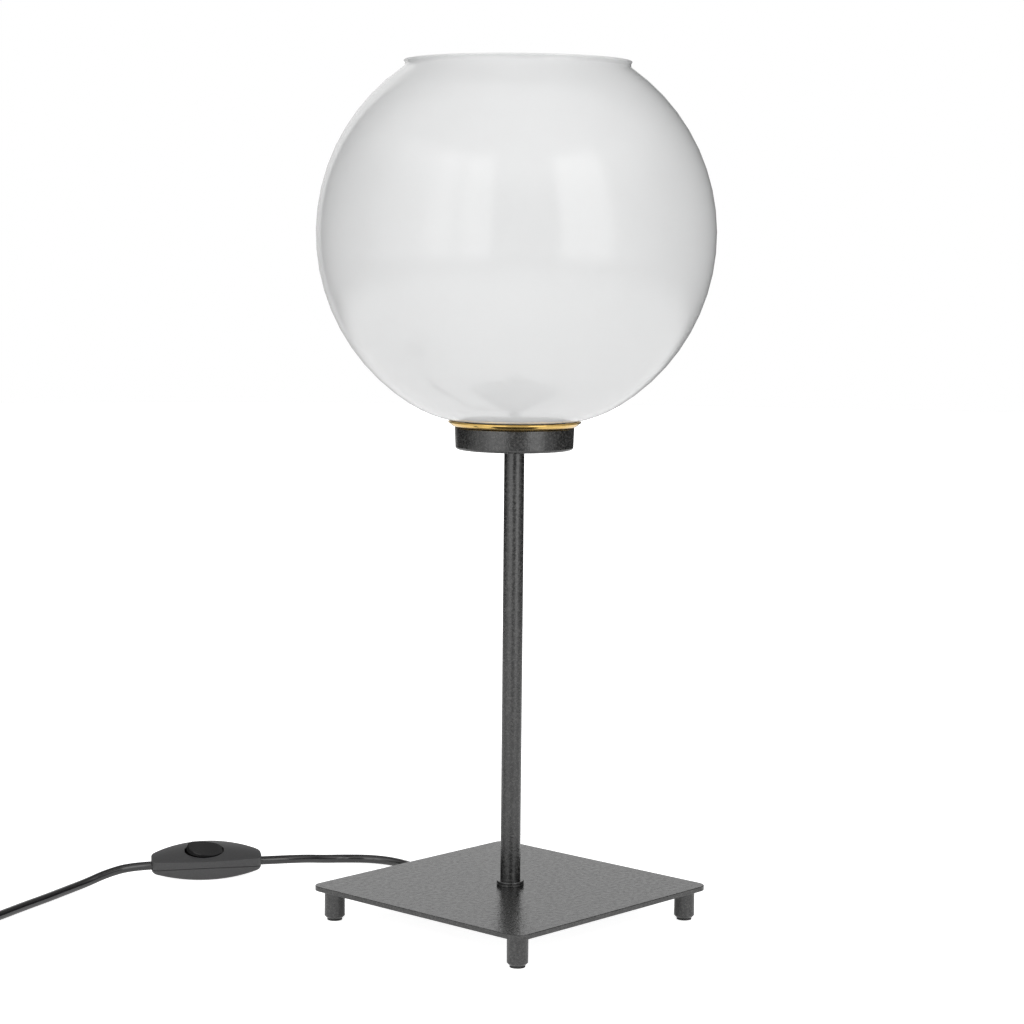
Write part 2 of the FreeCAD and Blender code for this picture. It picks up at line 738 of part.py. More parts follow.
def contacts():
    """The live leaf under the bulb's tip, the rivets through the core and the terminals under it."""
    body = doc.addObject("PartDesign::Body", "centre_contact")
    sketch = new_sketch(body, "outline", "XZ_Plane")
    top = "(leaf_top / 2)"
    heel = f"({top} + leaf_ramp)"
    draw_outline(sketch, [
        (f"-{heel} - leaf_foot", CORE_TOP),
        (f"-{heel}", CORE_TOP),
        (f"-{top}", f"{CORE_TOP} + leaf_rise"),
        (top, f"{CORE_TOP} + leaf_rise"),
        (top, LEAF_TOP),
        (f"-{top} - leaf_wall / 2", LEAF_TOP),
        (f"-{heel} - leaf_wall / 2", f"{CORE_TOP} + leaf_wall"),
        (f"-{heel} - leaf_foot", f"{CORE_TOP} + leaf_wall"),
    ])
    pad = body.newObject("PartDesign::Pad", "centre_contact_pad")
    pad.Profile = sketch
    pad.Midplane = True
    tie(pad, Length="leaf_width")
    node(body, "centre_contact")
    rivets = [rod(f"rivet_{i}", "rivet_dia / 2", CAP_TOP, CORE_TOP, x) for i, x in enumerate(RIVETS_AT, 1)]
    group("contact_rivets", rivets)
    blocks, screws = [], []
    half = "block_width / 2"
    spans = (
        ("-live_block_from - block_length", "-live_block_from"),
        ("shell_block_from", "shell_block_from + block_length"),
    )
    middles = ("-live_block_from - block_length / 2", "shell_block_from + block_length / 2")
    heights = (f"{CAP_TOP} - block_height", CAP_TOP)
    for i, (span, middle) in enumerate(zip(spans, middles), 1):
        blocks.append(block(f"terminal_{i}", span, (f"-{half}", half), heights))
        shank = doc.addObject("Part::Cylinder", f"terminal_shank_{i}")
        tie(shank, Radius="block_screw_dia / 2", Height="block_screw")
        head = doc.addObject("Part::Cylinder", f"terminal_head_{i}")
        tie(head, Radius="block_head_dia / 2", Height="block_head")
        for piece, start in ((shank, half), (head, f"{half} + block_screw")):
            piece.Placement = Placement(Vector(0, 0, 0), Rotation(Vector(1, 0, 0), -FULL_TURN / 4))
            tie(piece, Placement__x=middle, Placement__y=start, Placement__z=f"{CAP_TOP} - block_height / 2")
        screws.append(join(f"terminal_screw_{i}", [shank, head]))
    group("terminal_blocks", blocks)
    group("terminal_screws", screws)


# Bulb: it turns and rises as it is screwed out, so its tip is a piece of its own that only rises.


def bulb():
    tip_top = f"({TIP_BOTTOM} + tip_thick)"
    base_low = f"({tip_top} + bead_height)"
    ring_wall = "base_dia / 2 - base_wall"
    ring("bulb_tip", "0", "tip_dia / 2", TIP_BOTTOM, tip_top)
    turned("bulb_bead", [
        ("0", tip_top),
        ("tip_dia / 2", tip_top),
        ("bead_dia / 2", base_low),
        ("0", base_low),
    ])
    turned("bulb_base", [
        ("0", base_low),
        ("base_hole_dia / 2", base_low),
        ("base_dia / 2", f"{base_low} + (base_dia - base_hole_dia) / 2"),
        ("base_dia / 2", BASE_TOP),
        (ring_wall, BASE_TOP),
        (ring_wall, f"{base_low} + (base_dia - base_hole_dia) / 2"),
        ("base_hole_dia / 2", f"{base_low} + base_wall"),
        ("0", f"{base_low} + base_wall"),
    ])
    root, neck, turn = "bulb_root_dia / 2", "(bulb_neck_dia / 2)", "bulb_neck_bend"
    radius, wall = "(bulb_dia / 2)", "bulb_wall"
    span = f"({radius} + {turn})"
    height = f"sqrt({span} * {span} - ({neck} + {turn}) * ({neck} + {turn}))"
    middle = f"({BASE_TOP} + {height})"

    def meet(shell):
        return f"({neck} + {turn}) * {shell} / {span}", f"{middle} - {height} * {shell} / {span}"

    inner = f"({radius} - {wall})"
    turned("bulb_glass", [
        (root, f"{BASE_TOP} - bulb_root"),
        (root, BASE_TOP),
        (neck, BASE_TOP, -1, turn),
        (*meet(radius), 1, radius),
        (radius, middle, 1, radius),
        ("0", f"{middle} + {radius}"),
        ("0", f"{middle} + {inner}", -1, inner),
        (inner, middle, -1, inner),
        (*meet(inner), 1, f"{turn} + {wall}"),
        (f"{neck} - {wall}", BASE_TOP),
        (f"{root} - {wall}", f"{BASE_TOP} - {wall}"),
        (f"{root} - {wall}", f"{BASE_TOP} - bulb_root"),
    ])


# Cords: straight runs joined by tangent arcs, each as large as its two runs allow.

RUN_SHARE = 0.45


def route(points):
    """The edges along the points, and the radius of each arc."""
    edges, radii = [], []
    here = points[0]
    for before, corner, after in zip(points, points[1:], points[2:]):
        back, ahead = (before - corner), (after - corner)
        turn = math.pi - back.getAngle(ahead)
        reach = RUN_SHARE * min(back.Length, ahead.Length)
        back.normalize()
        ahead.normalize()
        start, end = corner + back * reach, corner + ahead * reach
        radius = reach / math.tan(turn / 2)
        inward = (back + ahead).normalize()
        middle = corner + inward * (radius / math.cos(turn / 2) - radius)
        edges += [Part.LineSegment(here, start).toShape(), Part.Arc(start, middle, end).toShape()]
        radii.append(radius)
        here = end
    edges.append(Part.LineSegment(here, points[-1]).toShape())
    return edges, radii


def tube(edges, diameter):
    """A round solid along edges that meet tangent to each other."""
    wire = Part.Wire(edges)
    start, along = edges[0].Vertexes[0].Point, edges[0].tangentAt(edges[0].FirstParameter)
    circle_wire = Part.Wire([Part.Circle(start, along, diameter / 2).toShape()])
    solid = wire.makePipeShell([circle_wire], True, False)
    expected = math.pi * diameter**2 / 4 * wire.Length
    return solid, wire.Length, solid.Volume / expected


def laid_cord(label, points, diameter):
    edges, radii = route(points)
    solid, length, filled = tube(edges, diameter)
    made(label, solid)
    tight = min(radii) if radii else 0
    print(f"{label}: {length:.1f} mm, volume / expected {filled:.5f}, tightest radius {tight:.1f}")
    print("  radii " + " ".join(f"{radius:.0f}" for radius in radii))
    return length


def heading(angle):
    return Vector(math.cos(math.radians(angle)), math.sin(math.radians(angle)), 0)


def stem_lead():
    """The sheathed cord from the clamp under the plate up through the stem, and its two wires."""
    out = heading(value("lead_heading"))
    bend, low = value("lead_bend"), value("lead_height")
    top = Vector(0, 0, value(f"{PIPE_TOP} + lead_top_spare"))
    down, turned_out = Vector(0, 0, low + bend), out * bend + Vector(0, 0, low)
    middle = (out + Vector(0, 0, -1)) * (bend * math.sqrt(1 / 2)) + out * bend + Vector(0, 0, low + bend)
    middle -= out * (2 * bend * math.sqrt(1 / 2))
    end = out * value("clamp_reach") + Vector(0, 0, low)
    edges = [
        Part.LineSegment(top, down).toShape(),
        Part.Arc(down, middle, turned_out).toShape(),
        Part.LineSegment(turned_out, end).toShape(),
    ]
    solid, length, filled = tube(edges, value("cord_dia"))
    made("stem_lead", solid)
    print(f"stem_lead: {length:.1f} mm, volume / expected {filled:.5f}")
    wire = value("wire_dia")
    start = wire / 2 + value("wire_gap") / 2
    height = value(f"{CAP_TOP} - block_height / 2") - top.z
    ends = {"wire_live": -1, "wire_neutral": 1}
    faces = {"wire_live": value("live_block_from"), "wire_neutral": value("shell_block_from")}
    for label, side in ends.items():
        foot = top + Vector(side * start, 0, 0)
        corner = foot + Vector(0, 0, height)
        laid_cord(label, [foot, corner, Vector(side * faces[label], 0, corner.z)], wire)


def switch_placement():
    """The switch lies rolled towards the viewer on its rounded lower edge."""
    roll = Rotation(Vector(1, 0, 0), value("switch_roll"))
    turn = Rotation(Vector(0, 0, 1), value("switch_heading"))
    edge = value("switch_edge")
    lowest = roll.multVec(Vector(0, -(value("switch_width") / 2 - edge), edge)).z - edge
    return Placement(Vector(value("switch_x"), value("switch_y"), -lowest), turn.multiply(roll))


# The free cords' points, chosen along the way that the cord lies: x, y and the height above a lying cord.

RIGHT_RUN = 19.5
LEFT_RUN = 18.5
BASE_ROUTE = [
    (21.6, 54.2, 4.2),
    (27.6, 70.5, 2.0),
    (34.6, 89.0, 0.2),
    (41.4, 110.0, 0.0),
    (46.2, 131.0, 0.0),
    (46.6, 149.0, 0.0),
    (40.8, 163.4, 0.0),
    (29.8, 174.6, 0.1),
    (15.0, 179.4, 1.5),
    (0.0, 179.8, 4.2),
]
VIEW_ROUTE = [
    (-115.5, 240.6, 3.6),
    (-130.0, 241.2, 0.5),
    (-148.0, 236.6, 0.0),
    (-170.0, 229.2, 0.0),
    (-194.0, 222.2, 0.0),
    (-217.0, 214.7, 0.0),
]
TAIL_ROUTE = [
    (14.0, 0.0, 0.2),
    (30.0, 1.2, 1.2),
    (46.0, 4.0, 1.95),
]


def free_cords():
    diameter = value("cord_dia")
    floor = diameter / 2 + value("cord_lift")
    exit_point = heading(value("lead_heading")) * value("clamp_reach") + Vector(0, 0, value("lead_height"))
    switch = switch_placement()
    inside, height = value("switch_length / 2 - switch_grip"), value("switch_cord_height")
    outside_right, outside_left = inside + RIGHT_RUN, inside + LEFT_RUN
    right_in, right_out = (switch.multVec(Vector(x, 0, height)) for x in (inside, outside_right))
    left_in, left_out = (switch.multVec(Vector(-x, 0, height)) for x in (inside, outside_left))
    to_switch = [exit_point, *(Vector(x, y, floor + up) for x, y, up in BASE_ROUTE), right_out, right_in]
    first = laid_cord("cord_base_to_switch", to_switch, diameter)
    coil_edges, coil_start, coil_end, way = coil_route()
    from_switch = [left_in, left_out, *(Vector(x, y, floor + up) for x, y, up in VIEW_ROUTE), coil_start]
    second = laid_cord("cord_switch_to_coil", from_switch, diameter)
    solid, third, filled = tube(coil_edges, diameter)
    made("cord_coil", solid)
    print(f"cord_coil: {third:.1f} mm, volume / expected {filled:.5f}")
    print(f"cord_coil: least gap to itself {least_gap(coil_edges, diameter):.3f} mm")
    side = Vector(-way.y, way.x, 0)
    tail = [coil_end, *(coil_end + way * along + side * across - Vector(0, 0, drop)
                        for along, across, drop in TAIL_ROUTE)]
    fourth = laid_cord("cord_coil_to_plug", tail, diameter)
    print(f"free cord in all: {first + second + third + fourth:.0f} mm")
    return tail


# Coil: half turns that spiral in on the floor, climb in the innermost one, and spiral out above.

HALF_TURNS_IN = 6
POINTS_A_TURN = 72


def biarc(start, start_way, end, end_way):
    """Two tangent arcs from one point and direction to another."""
    across = end - start
    ways = start_way + end_way
    crossed = across.dot(ways)
    spread = 2 * (1 - start_way.dot(end_way))
    reach = (math.sqrt(crossed**2 + spread * across.dot(across)) - crossed) / spread
    joint = (start + start_way * reach + end - end_way * reach) / 2
    return [arc_from(start, start_way, joint), arc_from(end, end_way * -1, joint)]


def arc_from(start, way, end):
    """The arc that leaves start along way and reaches end."""
    chord = end - start
    lean = chord - way * chord.dot(way)
    centre = start + lean * (chord.Length**2 / (2 * lean.dot(lean)))
    outward = ((start - centre) + (end - centre)).normalize()
    return Part.Arc(start, centre + outward * (start - centre).Length, end)


def coil_route():
    pitch = value("cord_dia + turn_gap")
    way = heading(value("coil_heading"))
    inward = Vector(way.y, -way.x, 0)
    low = value("cord_dia / 2 + cord_lift")
    here = Vector(value("coil_x"), value("coil_y"), low)
    lead = way * value("cord_dia")
    start = here - lead
    edges = [Part.LineSegment(start, here).toShape()]
    reach = value("coil_radius")
    radii = [reach - pitch / 2 * i for i in range(HALF_TURNS_IN)]
    climb = reach - pitch / 2 * HALF_TURNS_IN
    facing = 1
    for radius in [*radii, climb, *radii[:0:-1]]:
        across, ahead = inward * facing, way * facing
        centre = here + across * radius
        rise = pitch if radius == climb else 0
        side_point = centre + ahead * radius + Vector(0, 0, rise / 2)
        end = centre + across * radius + Vector(0, 0, rise)
        if rise:
            slope = (across + Vector(0, 0, 2 * rise / (math.pi * radius))).normalize()
            arcs = biarc(here, ahead, side_point, slope) + biarc(side_point, slope, end, ahead * -1)
            edges += [arc.toShape() for arc in arcs]
        else:
            edges.append(Part.Arc(here, side_point, end).toShape())
        here = end
        facing = -facing
    out = way * facing
    edges.append(Part.LineSegment(here, here + out * value("cord_dia")).toShape())
    return Part.sortEdges(edges)[0], start, here + out * value("cord_dia"), out


def least_gap(edges, diameter):
    """The least distance between two places of the coil's surface that are over a quarter turn apart."""
    points, walked = [], []
    total = 0
    for edge in edges:
        count = max(2, int(edge.Length / value("coil_radius") * POINTS_A_TURN / math.tau))
        for i in range(count):
            points.append(edge.valueAt(edge.getParameterByLength(edge.Length * i / count)))
            walked.append(total + edge.Length * i / count)
        total += edge.Length
    apart = value("coil_radius") * math.pi / 2
    best = min(
        (points[i] - points[j]).Length
        for i in range(len(points))
        for j in range(i + 1, len(points))
        if walked[j] - walked[i] > apart
    )
    return best - diameter


def coil_tie():
    """A flat strap round the bundle of turns, opposite the side where the cord comes in."""
    diameter, gap = value("cord_dia"), value("turn_gap")
    pitch = diameter + gap
    way = heading(value("coil_heading"))
    inward = Vector(way.y, -way.x, 0)
    reach = value("coil_radius")
    inner = reach - pitch / 2 * HALF_TURNS_IN
    clear, thick = value("loose_gap"), value("tie_thick")
    middle = Vector(value("coil_x"), value("coil_y"), 0) + inward * reach
    low, high = value("cord_lift"), value("cord_lift") + 2 * diameter + gap
    side = Rotation(Vector(1, 0, 0), inward)
    near = inner - diameter / 2 - pitch / 2 - clear
    far = reach + diameter / 2 + clear
    width, tall = value("tie_width"), high - low + clear
    corner = Vector(near, -width / 2, 0)
    outer = Part.makeBox(far - near + 2 * thick, width, tall + thick, corner - Vector(thick, 0, 0))
    hole = Part.makeBox(far - near, width, tall, corner)
    made("coil_tie", outer.cut(hole), Placement(middle, side))


# Switch: two shells with an arched seam, a rocker on a pin, two blades and the grips for the cord.


def arch(half_length, middle, end):
    """The arc from end to end through the middle, as a function of the place along the switch."""
    drop = middle - end
    radius = (half_length**2 + drop**2) / (2 * drop)
    bow = math.copysign(1, drop)
    return lambda x: middle - radius + bow * math.sqrt(radius**2 - x**2)


def plan_prism(inset, low, high):
    """The switch's outline from above, smaller by inset, as an upright prism with rounded ends."""
    half, wide = value("switch_length") / 2 - inset, value("switch_width") / 2
    side = arch(value("switch_length") / 2, wide, value("switch_end_width") / 2)
    end_wide = side(half) - inset
    ends = ((-half, -end_wide), (half, -end_wide), (half, end_wide), (-half, end_wide))
    corners = [Vector(x, y, low) for x, y in ends]
    edges = [
        Part.Arc(corners[0], Vector(0, inset - wide, low), corners[1]).toShape(),
        Part.LineSegment(corners[1], corners[2]).toShape(),
        Part.Arc(corners[2], Vector(0, wide - inset, low), corners[3]).toShape(),
        Part.LineSegment(corners[3], corners[0]).toShape(),
    ]
    prism = Part.Face(Part.Wire(edges)).extrude(Vector(0, 0, high - low))
    round_off = max(value("switch_end_round") - inset, value("switch_end_round") / 2)
    return prism.makeFillet(round_off, [e for e in prism.Edges if upright(e)])


def below(middle, end, lift):
    """All the space under an arch along the switch, moved up by lift."""
    half = value("switch_length / 2 + overrun")
    wide = value("switch_width / 2 + overrun")
    curve = arch(value("switch_length") / 2, middle, end)
    low = -value("switch_height")
    left, right = Vector(-half, -wide, curve(-half) + lift), Vector(half, -wide, curve(half) + lift)
    edges = [
        Part.Arc(left, Vector(0, -wide, curve(0) + lift), right).toShape(),
        Part.LineSegment(right, Vector(half, -wide, low)).toShape(),
        Part.LineSegment(Vector(half, -wide, low), Vector(-half, -wide, low)).toShape(),
        Part.LineSegment(Vector(-half, -wide, low), left).toShape(),
    ]
    return Part.Face(Part.Wire(edges)).extrude(Vector(0, 2 * wide, 0))


def below_seam(lift):
    """All the space under the seam, which falls to the ends."""
    return below(value("switch_seam"), value("switch_seam_end"), lift)


def below_floor(lift):
    """All the space under the switch, whose floor rises to the ends."""
    return below(0, value("switch_belly"), lift)


def below_top(drop):
    """All the space under the crowned top, moved down by drop: a low arc across, swept along the arch."""
    wide, crown = value("switch_width") / 2, value("switch_crown")
    across = (wide**2 + crown**2) / (2 * crown)
    seam_drop = value("switch_seam - switch_seam_end")
    along = (value("switch_length") ** 2 / 4 + seam_drop**2) / (2 * seam_drop)
    top = value("switch_height") - drop
    reach = value("switch_width / 2 + overrun")
    edge_height = top - across + math.sqrt(across**2 - reach**2)
    low = -value("overrun") - drop
    points = [Vector(0, -reach, edge_height), Vector(0, 0, top), Vector(0, reach, edge_height)]
    edges = [
        Part.Arc(*points).toShape(),
        Part.LineSegment(points[2], Vector(0, reach, low)).toShape(),
        Part.LineSegment(Vector(0, reach, low), Vector(0, -reach, low)).toShape(),
        Part.LineSegment(Vector(0, -reach, low), points[0]).toShape(),
    ]
    face = Part.Face(Part.Wire(edges))
    spread = math.degrees(math.asin(value("switch_length / 2 + overrun") / along))
    axis_point = Vector(0, 0, top - along)
    face.rotate(axis_point, Vector(0, 1, 0), -spread)
    return face.revolve(axis_point, Vector(0, 1, 0), 2 * spread)


def cord_holes():
    """The round way in for the cord at both ends."""
    reach = value("switch_length / 2 + overrun")
    radius = value("cord_dia / 2 + fit_gap")
    start = value("switch_length / 2 - switch_grip")
    height = value("switch_cord_height")
    return [
        Part.makeCylinder(radius, reach - start, Vector(side * start, 0, height), Vector(side, 0, 0))
        for side in (1, -1)
    ]


def screw_rods(radius, low, length):
    """An upright rod at both of the case's screws."""
    at = value("case_screw_at")
    return [Part.makeCylinder(radius, length, Vector(side * at, 0, low)) for side in (1, -1)]


def pin_rod(radius, length):
    """A level rod across the switch, on the rocker's pivot."""
    foot = Vector(value("well_at"), -length / 2, value("rocker_pivot"))
    return Part.makeCylinder(radius, length, foot, Vector(0, 1, 0))


def oval(length, width, low, high):
    ellipse = Part.Ellipse(Vector(value("well_at"), 0, low), length / 2, width / 2)
    return Part.Face(Part.Wire([ellipse.toShape()])).extrude(Vector(0, 0, high - low))


def switch_case():
    place = switch_placement()
    wall, over, gap = value("switch_wall"), value("overrun"), value("fit_gap")
    height = value("switch_height") + over
    outline = plan_prism(0, 0, height).cut(below_floor(0))
    hollow = plan_prism(wall, 0, height).cut(below_floor(wall))
    under_seam = below_seam(0)
    floor_edges = [edge for edge in outline.Edges if edge.BoundBox.ZMax < value("switch_belly") + gap]
    lower = outline.makeFillet(value("switch_edge"), floor_edges).common(under_seam)
    step = outline.common(below_seam(over)).cut(below_seam(-value("switch_groove")))
    full = lower.cut(step.cut(plan_prism(value("switch_groove_depth"), -over, height)))
    posts = [post.common(full) for post in screw_rods(value("case_post_dia") / 2, 0, height)]
    lower = full.cut(hollow).fuse(posts).removeSplitter()
    screw, length = value("case_screw_dia") / 2, value("case_screw_length")
    screw_holes = screw_rods(screw + gap, -over, length + value("loose_gap") + over)
    made("switch_lower_case", lower.cut(Part.Compound([*cord_holes(), *screw_holes])), place)
    made("case_screws", Part.Compound(screw_rods(screw, gap, length)), place)
    near, far = value("well_width") / 2, value("switch_width") / 2 - wall / 2
    lug, pivot = value("lug_width"), value("rocker_pivot")
    lugs = []
    for low in (near, -far):
        corner = Vector(value("well_at") - lug / 2, low, pivot - lug / 2)
        box = Part.makeBox(lug, far - near, value("lug_height"), corner)
        lugs.append(box.common(below_top(wall / 2)).cut(under_seam))
    upper = outline.common(below_top(0)).cut(under_seam)
    upper = upper.cut(hollow.common(below_top(wall))).fuse(lugs).removeSplitter()
    well = oval(value("well_length"), value("well_width"), -over, height)
    pin_hole = pin_rod(value("pin_dia") / 2 + gap, value("pin_length") + 2 * gap)
    made("switch_upper_case", upper.cut(Part.Compound([well, pin_hole, *cord_holes()])), place)


def rocker():
    place = switch_placement()
    pivot, top, skirt = value("rocker_pivot"), value("rocker_top"), value("rocker_skirt")
    wall, over = value("rocker_wall"), value("overrun")
    length, width = value("rocker_length"), value("rocker_width")
    low, at = pivot - skirt, value("well_at")
    outer = oval(length, width, low, top).common(pin_rod(value("rocker_reach"), width + 2 * over))
    hollow = oval(length - 2 * wall, width - 2 * wall, low - over, top - 2 * wall)
    pin = value("pin_dia") / 2
    hub = pin_rod(pin + wall, width).common(outer)
    bore = pin_rod(pin + value("fit_gap"), width + 2 * over)
    finger = value("rocker_dish")
    sag = finger - math.sqrt(finger**2 - (length / 2) ** 2)
    foot = Vector(at, -width / 2 - over, top - sag / 2 + finger)
    scoop = Part.makeCylinder(finger, width + 2 * over, foot, Vector(0, 1, 0))
    body = outer.cut(hollow).fuse(hub).removeSplitter().cut(Part.Compound([bore, scoop]))
    turn = Rotation(Vector(0, 1, 0), value("rocker_tilt"))
    tilt = Placement(Vector(0, 0, 0), turn, Vector(at, 0, pivot))
    made("switch_rocker", body, place.multiply(tilt))
    made("rocker_pin", pin_rod(pin, value("pin_length")), place)


def switch_inside():
    """Two contact blades on the floor of the case, and a grip under its top over the cord at each end."""
    place = switch_placement()
    floor = value("switch_wall")
    under_floor = below_floor(floor)
    length, width = value("blade_length"), value("blade_width")
    thick, rise = value("blade_wall"), value("blade_height")
    blades = []
    for side in (1, -1):
        x = value("well_at") + side * value("blade_spread") / 2
        foot = Part.makeBox(length, width, thick, Vector(x - length / 2, -width / 2, floor))
        tongue = Part.makeBox(thick, width, rise, Vector(x - thick / 2, -width / 2, floor))
        blades.append(foot.fuse(tongue).removeSplitter().cut(under_floor))
    made("contact_blades", Part.Compound(blades), place)
    bars = []
    long, wide = value("grip_length"), value("grip_width")
    low = value("switch_cord_height + cord_dia / 2 + fit_gap")
    under_top = below_top(value("switch_wall"))
    for side in (1, -1):
        start = side * value("switch_length / 2 - switch_grip")
        corner = Vector(start - long / 2 + side * long / 2, -wide / 2, low)
        bars.append(Part.makeBox(long, wide, value("switch_height") - low, corner).common(under_top))
    made("cord_grips", Part.Compound(bars), place)


# Plug: a flat two-pin body with a tapered relief, its prongs and their sleeves.

PLUG_SHOULDER_SHARE = 0.45


def plug(tail):
    last = tail[-1] - tail[-2]
    last.z = 0
    turn = Rotation(Vector(1, 0, 0), last)
    thick = value("plug_thick")
    place = Placement(Vector(tail[-1].x, tail[-1].y, 0), turn)
    axis, long, wide = thick / 2, value("plug_length"), value("plug_width") / 2
    start, tail_wide = value("relief_length"), value("plug_tail_width") / 2
    overlap, front = PLUG_SHOULDER_SHARE * long, start + long
    outline = [(start, -tail_wide), (start + overlap, -wide), (front, -wide)]
    outline += [(x, -y) for x, y in reversed(outline)]
    wire = Part.makePolygon([Vector(x, y, 0) for x, y in [*outline, outline[0]]])
    body = Part.Face(wire).extrude(Vector(0, 0, thick))
    corners = [edge for edge in body.Edges if upright(edge) and edge.BoundBox.XMax < front]
    body = body.makeFillet(value("plug_corner"), corners)
    level = value("plug_edge") / 2
    rims = [edge for edge in body.Edges if edge.BoundBox.ZLength < level and edge.BoundBox.XMin < front]
    body = body.makeFillet(value("plug_edge"), [edge for edge in rims if not upright(edge)])
    small, large = value("relief_end_dia") / 2, value("relief_dia") / 2
    ahead = Vector(1, 0, 0)
    relief = Part.makeCone(small, large, start + overlap, Vector(0, 0, axis), ahead)
    made("plug_body", body.fuse(relief).removeSplitter(), place)
    prongs, sleeves = [], []
    pin, reach, covered = value("prong_dia") / 2, value("prong_length"), value("sleeve_length")
    for side in (1, -1):
        foot = Vector(front, side * value("prong_spread") / 2, axis)
        core = Part.makeCylinder(pin - value("sleeve_thick"), covered, foot, ahead)
        tip = Part.makeCylinder(pin, reach - covered, foot + ahead * covered, ahead)
        far = [edge for edge in tip.Edges if edge.BoundBox.XMin > front + reach - value("fit_gap")]
        prongs.append(core.fuse(tip.makeFillet(value("prong_round"), far)).removeSplitter())
        sleeves.append(Part.makeCylinder(pin, covered, foot, ahead).cut(core))
    made("plug_prongs", Part.Compound(prongs), place)
    made("prong_sleeves", Part.Compound(sleeves), place)


# Build everything, check it and write one file for each node.

base_plate()
feet()
stem()
clamp()
cup()
dish()
globe()
lampholder()
contacts()
bulb()
stem_lead()
plug(free_cords())
coil_tie()
switch_case()
rocker()
switch_inside()
doc.recompute()

failed = [thing.Label for thing in doc.Objects if {"Invalid", "Error"} & set(thing.State)]
for part in nodes:
    if part.Shape.isNull() or not part.Shape.isValid() or not part.Shape.Solids:
        failed.append(part.Label)
if failed:
    raise SystemExit(f"not built: {sorted(set(failed))}")

os.makedirs("parts", exist_ok=True)
for part in nodes:
    part.Shape.exportStep(f"parts/{part.Label}.step")
print(f"{len(nodes)} nodes, {sum(len(part.Shape.Solids) for part in nodes)} solids")
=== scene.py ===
import json
import math

import bpy
from mathutils import Matrix, Vector


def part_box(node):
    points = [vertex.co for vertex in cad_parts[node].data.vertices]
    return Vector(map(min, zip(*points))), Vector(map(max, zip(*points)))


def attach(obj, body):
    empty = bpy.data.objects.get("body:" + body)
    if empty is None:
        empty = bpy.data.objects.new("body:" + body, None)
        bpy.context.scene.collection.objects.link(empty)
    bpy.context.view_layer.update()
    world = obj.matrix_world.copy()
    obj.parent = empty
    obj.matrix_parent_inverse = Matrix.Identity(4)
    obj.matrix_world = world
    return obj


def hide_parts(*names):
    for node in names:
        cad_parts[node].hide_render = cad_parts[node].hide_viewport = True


# Table lamp with an opal glass globe. Metres, +Z up, the origin on the floor under the plate's middle.

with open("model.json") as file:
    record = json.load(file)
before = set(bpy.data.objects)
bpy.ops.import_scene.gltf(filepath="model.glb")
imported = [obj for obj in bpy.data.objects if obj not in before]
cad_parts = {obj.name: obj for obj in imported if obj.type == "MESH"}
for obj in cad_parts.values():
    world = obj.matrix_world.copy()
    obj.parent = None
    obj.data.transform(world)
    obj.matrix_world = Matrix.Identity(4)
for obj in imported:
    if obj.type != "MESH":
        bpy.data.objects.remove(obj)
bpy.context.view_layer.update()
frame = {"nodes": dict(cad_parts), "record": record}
scene = bpy.context.scene
MM = 0.001


def box(node):
    low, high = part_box(node)
    return Vector(low), Vector(high)


# Camera: fitted to the photograph, level with the globe's foot and a good metre and a half away.

VIEW_AZIMUTH = math.radians(-47.453)
CAMERA_DISTANCE = 1563.04 * MM
CAMERA_HEIGHT = 407.16 * MM
CAMERA_PAN = math.radians(-0.038)
CAMERA_DOWN = math.radians(5.865)
CAMERA_ROLL = math.radians(0.548)
SENSOR = 36.0
LENS = 93.09
NEAR_CLIP = 0.05
FAR_CLIP = 30.0

TOWARDS = Vector((-math.sin(VIEW_AZIMUTH), math.cos(VIEW_AZIMUTH), 0))
RIGHTWARDS = Vector((math.cos(VIEW_AZIMUTH), math.sin(VIEW_AZIMUTH), 0))
UPWARDS = Vector((0, 0, 1))


def add_camera():
    data = bpy.data.cameras.new("camera")
    data.sensor_width = SENSOR
    data.lens = LENS
    data.clip_start = NEAR_CLIP
    data.clip_end = FAR_CLIP
    camera = bpy.data.objects.new("camera", data)
    scene.collection.objects.link(camera)
    level = math.cos(CAMERA_PAN) * TOWARDS + math.sin(CAMERA_PAN) * RIGHTWARDS
    side = math.cos(CAMERA_PAN) * RIGHTWARDS - math.sin(CAMERA_PAN) * TOWARDS
    forward = math.cos(CAMERA_DOWN) * level - math.sin(CAMERA_DOWN) * UPWARDS
    head = math.cos(CAMERA_DOWN) * UPWARDS + math.sin(CAMERA_DOWN) * level
    right = math.cos(CAMERA_ROLL) * side + math.sin(CAMERA_ROLL) * head
    up = math.cos(CAMERA_ROLL) * head - math.sin(CAMERA_ROLL) * side
    turn = Matrix((right, up, -forward)).transposed().to_4x4()
    place = UPWARDS * CAMERA_HEIGHT - TOWARDS * CAMERA_DISTANCE
    camera.matrix_world = Matrix.Translation(place) @ turn
    scene.camera = camera


# Node trees.


